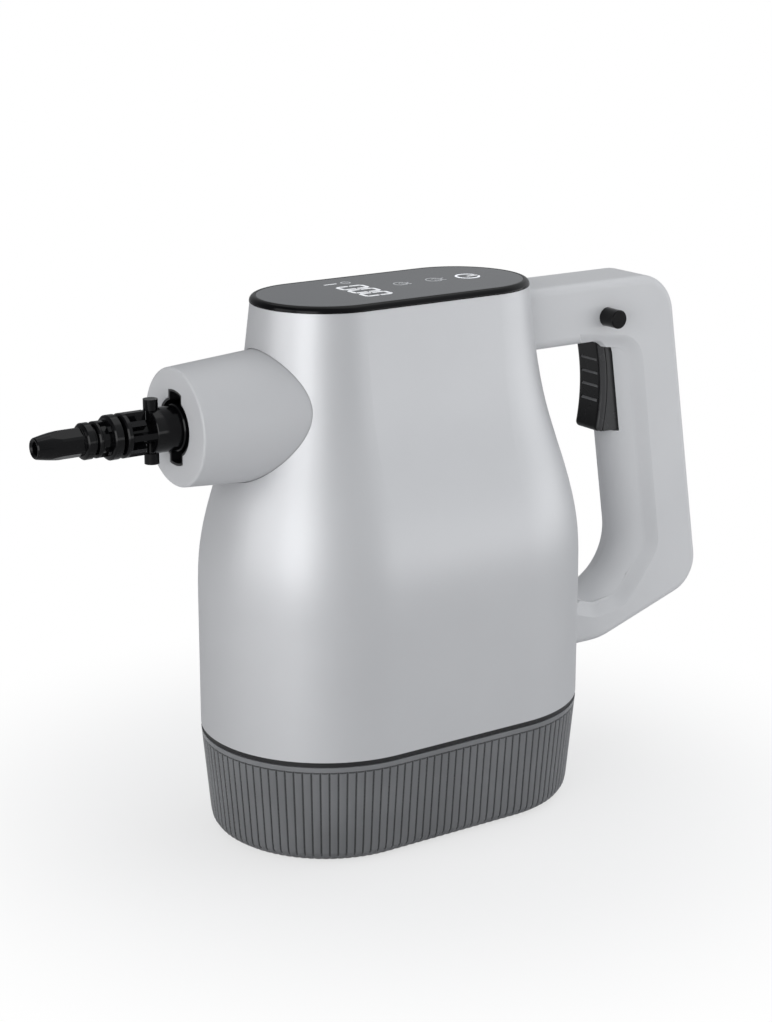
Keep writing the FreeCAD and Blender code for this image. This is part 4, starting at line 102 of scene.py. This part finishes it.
# Lamps: name, place, aim, width, height, power
LAMPS = (
    ("key", (-1.22, -0.72, 0.42), (0.0, 0.0, 0.13), 0.8, 0.9, 7.2),
    ("front", (-1.60, 0.20, 0.55), (0.0, 0.0, 0.13), 0.9, 1.0, 5.5),
    ("side", (1.35, -0.95, 0.18), (0.0, 0.0, 0.10), 2.2, 0.36, 4.6),
    ("top", (0.2, 0.4, 1.6), (0.0, 0.0, 0.1), 1.6, 1.4, 5.0),
)


def add_object(name, data):
    holder = bpy.data.objects.new(name, data)
    bpy.context.scene.collection.objects.link(holder)
    return holder


def turn_towards(holder, direction):
    holder.rotation_euler = direction.to_track_quat("-Z", "Y").to_euler()


def add_camera():
    camera = bpy.data.cameras.new("camera")
    camera.lens = CAMERA_LENS
    camera.sensor_width = SENSOR_WIDTH
    camera.sensor_fit = "AUTO"
    camera.clip_end = CAMERA_REACH
    holder = add_object("camera", camera)
    holder.location = CAMERA_PLACE
    turn_towards(holder, Vector(CAMERA_FORWARD))
    bpy.context.scene.camera = holder


# Node helpers
def shader(name):
    material = bpy.data.materials.new(name)
    material.use_nodes = True
    tree = material.node_tree
    return material, tree, tree.nodes["Principled BSDF"]


def coordinates(tree, kind):
    # X, Y and Z of one kind of texture coordinate
    place = tree.nodes.new("ShaderNodeTexCoord")
    split = tree.nodes.new("ShaderNodeSeparateXYZ")
    tree.links.new(place.outputs[kind], split.inputs["Vector"])
    return split.outputs["X"], split.outputs["Y"], split.outputs["Z"]


def noise(tree, scale, detail=3.0, rough=0.5, stretch=None):
    place = tree.nodes.new("ShaderNodeTexCoord")
    source = place.outputs["Object"]
    if stretch is not None:
        mapping = tree.nodes.new("ShaderNodeMapping")
        mapping.inputs["Scale"].default_value = stretch
        tree.links.new(source, mapping.inputs["Vector"])
        source = mapping.outputs["Vector"]
    field = tree.nodes.new("ShaderNodeTexNoise")
    field.inputs["Scale"].default_value = scale
    field.inputs["Detail"].default_value = detail
    field.inputs["Roughness"].default_value = rough
    tree.links.new(source, field.inputs["Vector"])
    return field.outputs["Fac"]


def calculate(tree, kind, first, second=None):
    # one arithmetic node; each value is a number or another node's output
    node = tree.nodes.new("ShaderNodeMath")
    node.operation = kind
    for socket, value in zip(node.inputs, (first, second)):
        if value is None:
            continue
        if isinstance(value, (int, float)):
            socket.default_value = value
        else:
            tree.links.new(value, socket)
    return node.outputs["Value"]


def spread(tree, value, start, end, low, high):
    # start becomes low and end becomes high, in a straight line
    span = tree.nodes.new("ShaderNodeMapRange")
    span.inputs["From Min"].default_value = start
    span.inputs["From Max"].default_value = end
    span.inputs["To Min"].default_value = low
    span.inputs["To Max"].default_value = high
    tree.links.new(value, span.inputs["Value"])
    return span


def between(tree, value, low, high):
    return spread(tree, value, NOISE_LOW, NOISE_HIGH, low, high).outputs["Result"]


def soft_step(tree, value, start, end, low=0.0, high=1.0):
    # from low before start to high after end, with a soft bend at both
    span = spread(tree, value, start, end, low, high)
    span.interpolation_type = "SMOOTHSTEP"
    return span.outputs["Result"]


def tint(tree, value, dark, light):
    shades = tree.nodes.new("ShaderNodeValToRGB")
    first, last = shades.color_ramp.elements
    first.position = NOISE_LOW
    last.position = NOISE_HIGH
    first.color = (*dark, 1.0)
    last.color = (*light, 1.0)
    tree.links.new(value, shades.inputs["Fac"])
    return shades.outputs["Color"]


def relief(tree, bsdf, value, strength, distance):
    bump = tree.nodes.new("ShaderNodeBump")
    bump.inputs["Strength"].default_value = strength
    bump.inputs["Distance"].default_value = distance
    tree.links.new(value, bump.inputs["Height"])
    tree.links.new(bump.outputs["Normal"], bsdf.inputs["Normal"])


def camera_ray(tree):
    return tree.nodes.new("ShaderNodeLightPath").outputs["Is Camera Ray"]


def mix_shaders(tree, share, first, second):
    mix = tree.nodes.new("ShaderNodeMixShader")
    tree.links.new(share, mix.inputs[0])
    tree.links.new(first, mix.inputs[1])
    tree.links.new(second, mix.inputs[2])
    return mix.outputs["Shader"]


# Families of materials
def plastic(name, colour, rough, vary=0.03, grain=1500.0, bump=0.15, depth=0.00004, sockets=None):
    # moulded plastic: slow colour drift, fine spark-eroded grain, uneven sheen
    material, tree, bsdf = shader(name)
    dark = tuple(c * (1 - vary) for c in colour)
    light = tuple(min(1.0, c * (1 + vary)) for c in colour)
    drift = noise(tree, 18.0, 4.0)
    tree.links.new(tint(tree, drift, dark, light), bsdf.inputs["Base Color"])
    smear = noise(tree, 55.0, 5.0, 0.6)
    sheen = between(tree, smear, rough * 0.92, rough * 1.08)
    tree.links.new(sheen, bsdf.inputs["Roughness"])
    relief(tree, bsdf, noise(tree, grain, 2.0), bump, depth)
    for socket, value in (sockets or {}).items():
        bsdf.inputs[socket].default_value = value
    return material


def metal(name, colour, rough, stretch=(1.0, 1.0, 1.0)):
    # bare metal: one brushed or cast grain in colour, sheen and relief
    material, tree, bsdf = shader(name)
    bsdf.inputs["Metallic"].default_value = 1.0
    dark = tuple(c * 0.93 for c in colour)
    brushed = noise(tree, 900.0, 4.0, 0.6, stretch)
    tree.links.new(tint(tree, brushed, dark, colour), bsdf.inputs["Base Color"])
    sheen = between(tree, brushed, rough * 0.8, rough * 1.2)
    tree.links.new(sheen, bsdf.inputs["Roughness"])
    relief(tree, bsdf, brushed, 0.1, 0.00004)
    return material


# One function for each material
def silver_lacquer():
    material, tree, bsdf = shader("silver_lacquer")
    flakes = noise(tree, 2600.0, 1.0)
    drift = noise(tree, 12.0, 3.0)
    base = tint(tree, drift, (0.590, 0.595, 0.610), (0.615, 0.620, 0.635))
    tree.links.new(base, bsdf.inputs["Base Color"])
    bsdf.inputs["Metallic"].default_value = 0.42
    tree.links.new(between(tree, flakes, 0.42, 0.48), bsdf.inputs["Roughness"])
    relief(tree, bsdf, flakes, 0.12, 0.00003)
    return material


def grey_shell():
    return plastic("grey_shell_plastic", (0.70, 0.705, 0.72), 0.46, 0.02, bump=0.25)


# painted shade: the handle's grey plastic made darker for the nose
def shaded_nose_grey():
    return plastic("nose_grey_painted_shade", (0.545, 0.55, 0.565), 0.46, 0.02, bump=0.25)


def black_gloss():
    return plastic(
        "black_gloss_plastic", (0.003, 0.003, 0.0035), 0.13, 0.2, 900.0, 0.05,
        sockets={"Specular IOR Level": 0.20},
    )


def panel_rim():
    return plastic(
        "panel_rim_plastic", (0.003, 0.003, 0.0035), 0.16, 0.2, 900.0, 0.04,
        sockets={"Specular IOR Level": 0.14},
    )


def black_satin():
    return plastic("black_satin_plastic", (0.008, 0.008, 0.009), 0.36, 0.15)


def panel_glass():
    return plastic(
        "panel_glass", (0.100, 0.104, 0.114), 0.16, 0.04, 700.0, 0.02,
        sockets={"Coat Weight": 0.3},
    )


def white_moulded():
    return plastic("white_moulded_plastic", (0.68, 0.68, 0.66), 0.5, 0.04)


def dark_frame():
    return plastic("dark_frame_plastic", (0.06, 0.06, 0.065), 0.5, 0.1)


def board_lacquer():
    return plastic("board_lacquer", (0.02, 0.10, 0.05), 0.35, 0.12, 300.0)


def black_rubber():
    return plastic("black_rubber", (0.022, 0.022, 0.022), 0.7, 0.15, 1200.0, 0.3)


def cast_aluminium():
    return metal("cast_aluminium", (0.62, 0.62, 0.63), 0.45)


def turned_brass():
    return metal("turned_brass", (0.62, 0.46, 0.20), 0.3)


def plated_steel():
    return metal("plated_steel", (0.55, 0.55, 0.56), 0.28, (1.0, 1.0, 6.0))


def trigger_plastic():
    # black pad, its cheeks a shade lighter, and a painted highlight on its upward groove lips
    material, tree, bsdf = shader("trigger_plastic")
    across = calculate(tree, "ABSOLUTE", coordinates(tree, "Object")[1])
    upward = coordinates(tree, "Normal")[2]
    cheek = soft_step(tree, across, *TRIGGER_CHEEK, 0.0, 0.41)
    # painted highlight: faces tilted upwards, as the groove lips are, turn lighter
    painted_lip_highlight = soft_step(tree, upward, 0.25, 0.6)
    share = calculate(tree, "MAXIMUM", cheek, painted_lip_highlight)
    base = tint(tree, share, (0.003, 0.003, 0.0035), (0.20, 0.20, 0.205))
    tree.links.new(base, bsdf.inputs["Base Color"])
    smear = noise(tree, 60.0, 4.0)
    tree.links.new(between(tree, smear, 0.24, 0.30), bsdf.inputs["Roughness"])
    bsdf.inputs["Specular IOR Level"].default_value = 0.3
    relief(tree, bsdf, noise(tree, 1200.0, 2.0), 0.1, 0.00003)
    return material


def flute_edge(tree, x, y):
    # 0 in the valley between two flutes, 0.5 on the middle of a flute
    along = calculate(tree, "ABSOLUTE", x)
    flat = calculate(tree, "MINIMUM", along, TANK_HALF_STRAIGHT)
    over = calculate(tree, "SUBTRACT", along, flat)
    turn = calculate(tree, "ARCTAN2", over, calculate(tree, "ABSOLUTE", y))
    straight_count = calculate(tree, "DIVIDE", flat, FLUTE_PITCH)
    round_count = calculate(tree, "DIVIDE", turn, math.radians(FLUTE_ANGLE))
    share = calculate(tree, "FRACT", calculate(tree, "ADD", straight_count, round_count))
    return calculate(tree, "MINIMUM", share, calculate(tree, "SUBTRACT", 1.0, share))


def band(tree, height, foot, head):
    # 1 between two heights and 0 beyond them
    above = soft_step(tree, height, *foot)
    below = soft_step(tree, height, *head)
    return calculate(tree, "MULTIPLY", above, below)


def smoked_plastic():
    # smoke-grey clear plastic, with painted shade darkening the valleys between the flutes
    material, tree, bsdf = shader("smoked_clear_plastic")
    x, y, height = coordinates(tree, "Object")
    edge = flute_edge(tree, x, y)
    fluted = band(tree, height, FLUTE_FOOT, FLUTE_HEAD)
    # painted shade in the valleys between the flutes, darker towards each valley's middle
    painted_valley_shade = calculate(tree, "MULTIPLY", soft_step(tree, edge, 0.15, 0.06), fluted)
    dashed = band(tree, height, DASH_FOOT, DASH_HEAD)
    dash = calculate(tree, "MULTIPLY", dashed, soft_step(tree, edge, 0.10, 0.16))
    dark = calculate(tree, "MAXIMUM", painted_valley_shade, dash)
    cloud = noise(tree, 22.0, 3.0)
    collar = soft_step(tree, height, *COLLAR_FOOT, 0.0, 0.06)
    plain = calculate(tree, "ADD", between(tree, cloud, 0.27, 0.34), collar)
    kept = calculate(tree, "SUBTRACT", 1.0, calculate(tree, "MULTIPLY", dark, 0.72))
    level = calculate(tree, "MULTIPLY", plain, kept)
    colour = tree.nodes.new("ShaderNodeCombineColor")
    tree.links.new(level, colour.inputs["Red"])
    tree.links.new(calculate(tree, "MULTIPLY", level, 1.02), colour.inputs["Green"])
    tree.links.new(calculate(tree, "MULTIPLY", level, 1.06), colour.inputs["Blue"])
    tree.links.new(colour.outputs["Color"], bsdf.inputs["Base Color"])
    bsdf.inputs["Transmission Weight"].default_value = 0.5
    bsdf.inputs["IOR"].default_value = 1.45
    tree.links.new(between(tree, cloud, 0.16, 0.20), bsdf.inputs["Roughness"])
    relief(tree, bsdf, noise(tree, 400.0, 2.0), 0.05, 0.00005)
    return material


def display_ink(name, dark, light, strength):
    material, tree, bsdf = shader(name)
    tree.links.new(tint(tree, noise(tree, 300.0, 2.0), dark, light), bsdf.inputs["Base Color"])
    bsdf.inputs["Roughness"].default_value = 0.4
    bsdf.inputs["Emission Color"].default_value = (0.9, 0.92, 0.96, 1.0)
    bsdf.inputs["Emission Strength"].default_value = strength
    return material


def lit_ink():
    return display_ink("lit_display_ink", (0.82, 0.83, 0.85), (0.95, 0.96, 0.98), 0.35)


def faint_ink():
    return display_ink("faint_display_ink", (0.58, 0.59, 0.61), (0.66, 0.67, 0.69), 0.12)


# Which node wears which material
def dress(material, *names):
    for name in names:
        for slot in nodes[name].material_slots:
            slot.material = material


def dress_nodes():
    dress(silver_lacquer(), "body_casing")
    dress(grey_shell(), "handle_left", "handle_right")
    dress(shaded_nose_grey(), "nose_shroud")
    dress(black_gloss(), "nozzle_tip", "nozzle_body", "nozzle_stem", "bayonet_pins", "lock_button")
    dress(trigger_plastic(), "trigger")
    dress(panel_rim(), "control_panel_bezel")
    dress(black_satin(), "steam_socket", "base_deck", "pump_body", "microswitch", "cord_gland")
    dress(panel_glass(), "panel_window")
    dress(smoked_plastic(), "water_tank")
    dress(
        white_moulded(), "display_module", "check_valve", "intake_tube", "intake_filter",
        "thermal_fuse", "switch_plunger", "cord_clamp", "terminal_block",
    )
    dress(dark_frame(), "chassis_frame")
    dress(board_lacquer(), "control_board")
    dress(
        black_rubber(), "outlet_seal", "tank_gasket", "pump_mounts", "intake_hose", "feed_hose",
        "mains_loom", "switch_loom",
    )
    dress(cast_aluminium(), "boiler_body", "boiler_cover")
    dress(turned_brass(), "pump_head", "heater_terminals")
    dress(
        plated_steel(), "panel_screws", "touch_pads", "socket_screws", "steam_pipe",
        "chassis_screws", "nose_screws", "pump_bracket", "boiler_screws", "heater_elements",
        "boiler_bracket", "thermostat", "fuse_clip", "handle_screws", "tenon_screws",
        "trigger_pin", "trigger_spring", "lock_detent",
    )


# Printed and lit marks, sunk a little into the panel glass and standing just proud of it
def outline_mesh(name, faces, low, high):
    mesh = bpy.data.meshes.new(name)
    work = bmesh.new()
    for corners in faces:
        bottom = [work.verts.new((x, y, low)) for x, y in corners]
        top = [work.verts.new((x, y, high)) for x, y in corners]
        work.faces.new(top)
        work.faces.new(list(reversed(bottom)))
        for n in range(len(corners)):
            m = (n + 1) % len(corners)
            work.faces.new((bottom[n], bottom[m], top[m], top[n]))
    bmesh.ops.recalc_face_normals(work, faces=work.faces)
    work.to_mesh(mesh)
    work.free()
    return add_object(name, mesh)


def bar(centre, along, length, width):
    # a seven-segment bar with pointed ends; along is "x" or "y"
    cx, cy = centre
    half = length / 2
    w = width / 2
    points = [(-half, 0), (-half + w, w), (half - w, w), (half, 0), (half - w, -w), (-half + w, -w)]
    if along == "y":
        points = [(-q, p) for p, q in points]
    return [(cx + p, cy + q) for p, q in points]


def stroke(points, width):
    faces = []
    for a, b in zip(points, points[1:]):
        step = Vector(b) - Vector(a)
        side = Vector((-step.y, step.x)).normalized() * (width / 2)
        push = step.normalized() * (width * 0.15)
        start = Vector(a) - push
        end = Vector(b) + push
        corners = (start - side, end - side, end + side, start + side)
        faces.append([(c.x, c.y) for c in corners])
    return faces


def arc(cx, cy, radius, first, last, count):
    points = []
    for n in range(count + 1):
        angle = math.radians(first + (last - first) * n / count)
        points.append((cx + radius * math.cos(angle), cy + radius * math.sin(angle)))
    return points


def zero(cx, cy):
    # one digit, its top towards +X, read along -Y
    faces = []
    for sx in (-1, 1):
        faces.append(bar((cx + sx * DIGIT_TALL, cy), "y", DIGIT_WIDE, DIGIT_THICK))
        for sy in (-1, 1):
            centre = (cx + sx * DIGIT_TALL / 2, cy + sy * DIGIT_WIDE / 2)
            faces.append(bar(centre, "x", DIGIT_TALL - DIGIT_GAP, DIGIT_THICK))
    return faces


def power_sign():
    # an open ring with a stem from its middle
    ring = arc(POWER_X, ICON_ROW_Y, POWER_RADIUS, 20, 340, 40)
    stem = [(POWER_X, ICON_ROW_Y), (POWER_X + POWER_RADIUS, ICON_ROW_Y)]
    return stroke(ring, POWER_RING_WIDTH) + stroke(stem, POWER_STEM_WIDTH)


def touch_icon(cx, ring):
    # two open rings, one in the other, and a short curve beside them
    faces = stroke(arc(cx, ICON_RAISED_Y, ring, 40, 320, 24), ICON_WIDTH)
    inner = arc(cx + ring * 0.4, ICON_RAISED_Y, ring * 0.55, -150, 150, 20)
    faces += stroke(inner, ICON_WIDTH)
    beside = arc(cx + ring * 1.7, ICON_ROW_Y, ring * 0.7, 100, 230, 12)
    return faces + stroke(beside, ICON_WIDTH)


def add_marks(name, faces, material):
    glass_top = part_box("panel_window")[1][2]
    marks = outline_mesh(name, faces, glass_top - MARK_SINK, glass_top + MARK_RISE)
    marks.data.materials.append(material)
    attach(marks, "housing")


def add_panel_marks():
    bright = []
    for cy in DIGIT_ROWS:
        bright += zero(DIGIT_X, cy)
    bright += stroke([(x, SIGN_Y) for x in SIGN_BAR], SIGN_BAR_WIDTH)
    bright += power_sign()
    add_marks("panel_marks", bright, lit_ink())
    faint = stroke(arc(SIGN_RING_X, SIGN_Y, SIGN_RING_RADIUS, 0, 360, 20), SIGN_RING_WIDTH)
    for cx, ring in ICONS:
        faint += touch_icon(cx, ring)
    add_marks("panel_symbols", faint, faint_ink())


# Studio: pale floor, soft lamps, white surroundings
def pale_floor():
    material, tree, bsdf = shader("pale_floor")
    base = tint(tree, noise(tree, 3.0), (0.66, 0.66, 0.665), (0.68, 0.68, 0.685))
    tree.links.new(base, bsdf.inputs["Base Color"])
    bsdf.inputs["Roughness"].default_value = 0.6
    bsdf.inputs["Specular IOR Level"].default_value = 0.2
    # to the camera the floor is white, with soft shade round the object
    pale = tree.nodes.new("ShaderNodeBsdfDiffuse")
    pale.inputs["Color"].default_value = (0.86, 0.865, 0.875, 1.0)
    white = tree.nodes.new("ShaderNodeEmission")
    place = tree.nodes.new("ShaderNodeTexCoord")
    reach = tree.nodes.new("ShaderNodeVectorMath")
    reach.operation = "LENGTH"
    tree.links.new(place.outputs["Object"], reach.inputs[0])
    whiteness = soft_step(tree, reach.outputs["Value"], *SHADE_FADE, *SHADE_WHITE)
    shaded = mix_shaders(tree, whiteness, pale.outputs["BSDF"], white.outputs["Emission"])
    seen = mix_shaders(tree, camera_ray(tree), bsdf.outputs["BSDF"], shaded)
    tree.links.new(seen, tree.nodes["Material Output"].inputs["Surface"])
    return material


def add_floor():
    mesh = bpy.data.meshes.new("floor")
    far = FLOOR_REACH
    corners = [(-far, -far, 0), (far, -far, 0), (far, far, 0), (-far, far, 0)]
    mesh.from_pydata(corners, [], [(0, 1, 2, 3)])
    floor = add_object("floor", mesh)
    floor.location.z = -FLOOR_SINK
    mesh.materials.append(pale_floor())


def add_lamp(name, place, aim, width, height, power):
    lamp = bpy.data.lights.new(name, "AREA")
    lamp.shape = "RECTANGLE"
    lamp.size = width
    lamp.size_y = height
    lamp.energy = power
    holder = add_object(name, lamp)
    holder.location = place
    turn_towards(holder, Vector(aim) - Vector(place))


def studio_strength(tree):
    # a studio that is darker on some sides, so that the casing's round ends show
    x, y, _ = coordinates(tree, "Generated")
    turn = calculate(tree, "DIVIDE", calculate(tree, "ARCTAN2", y, x), 2.0 * math.pi)
    sides = tree.nodes.new("ShaderNodeValToRGB")
    sides.color_ramp.interpolation = "B_SPLINE"
    stops = sides.color_ramp.elements
    while len(stops) < len(STUDIO_LEVELS):
        stops.new(0.5)
    for stop, (angle, level) in zip(stops, STUDIO_LEVELS):
        stop.position = angle / 360.0 + 0.5
        stop.color = (level, level, level, 1.0)
    tree.links.new(calculate(tree, "ADD", turn, 0.5), sides.inputs["Fac"])
    return sides.outputs["Color"]


def add_world():
    world = bpy.data.worlds.new("studio")
    bpy.context.scene.world = world
    world.use_nodes = True
    tree = world.node_tree
    ambient = tree.nodes["Background"]
    ambient.inputs["Color"].default_value = (0.96, 0.98, 1.0, 1.0)
    tree.links.new(studio_strength(tree), ambient.inputs["Strength"])
    white = tree.nodes.new("ShaderNodeBackground")
    white.inputs["Color"].default_value = (1.0, 1.0, 1.0, 1.0)
    white.inputs["Strength"].default_value = 1.0
    seen = mix_shaders(
        tree, camera_ray(tree), ambient.outputs["Background"], white.outputs["Background"],
    )
    tree.links.new(seen, tree.nodes["World Output"].inputs["Surface"])


add_camera()
dress_nodes()
add_panel_marks()
add_floor()
add_world()
for lamp_row in LAMPS:
    add_lamp(*lamp_row)
bpy.context.scene.view_settings.view_transform = "Standard"
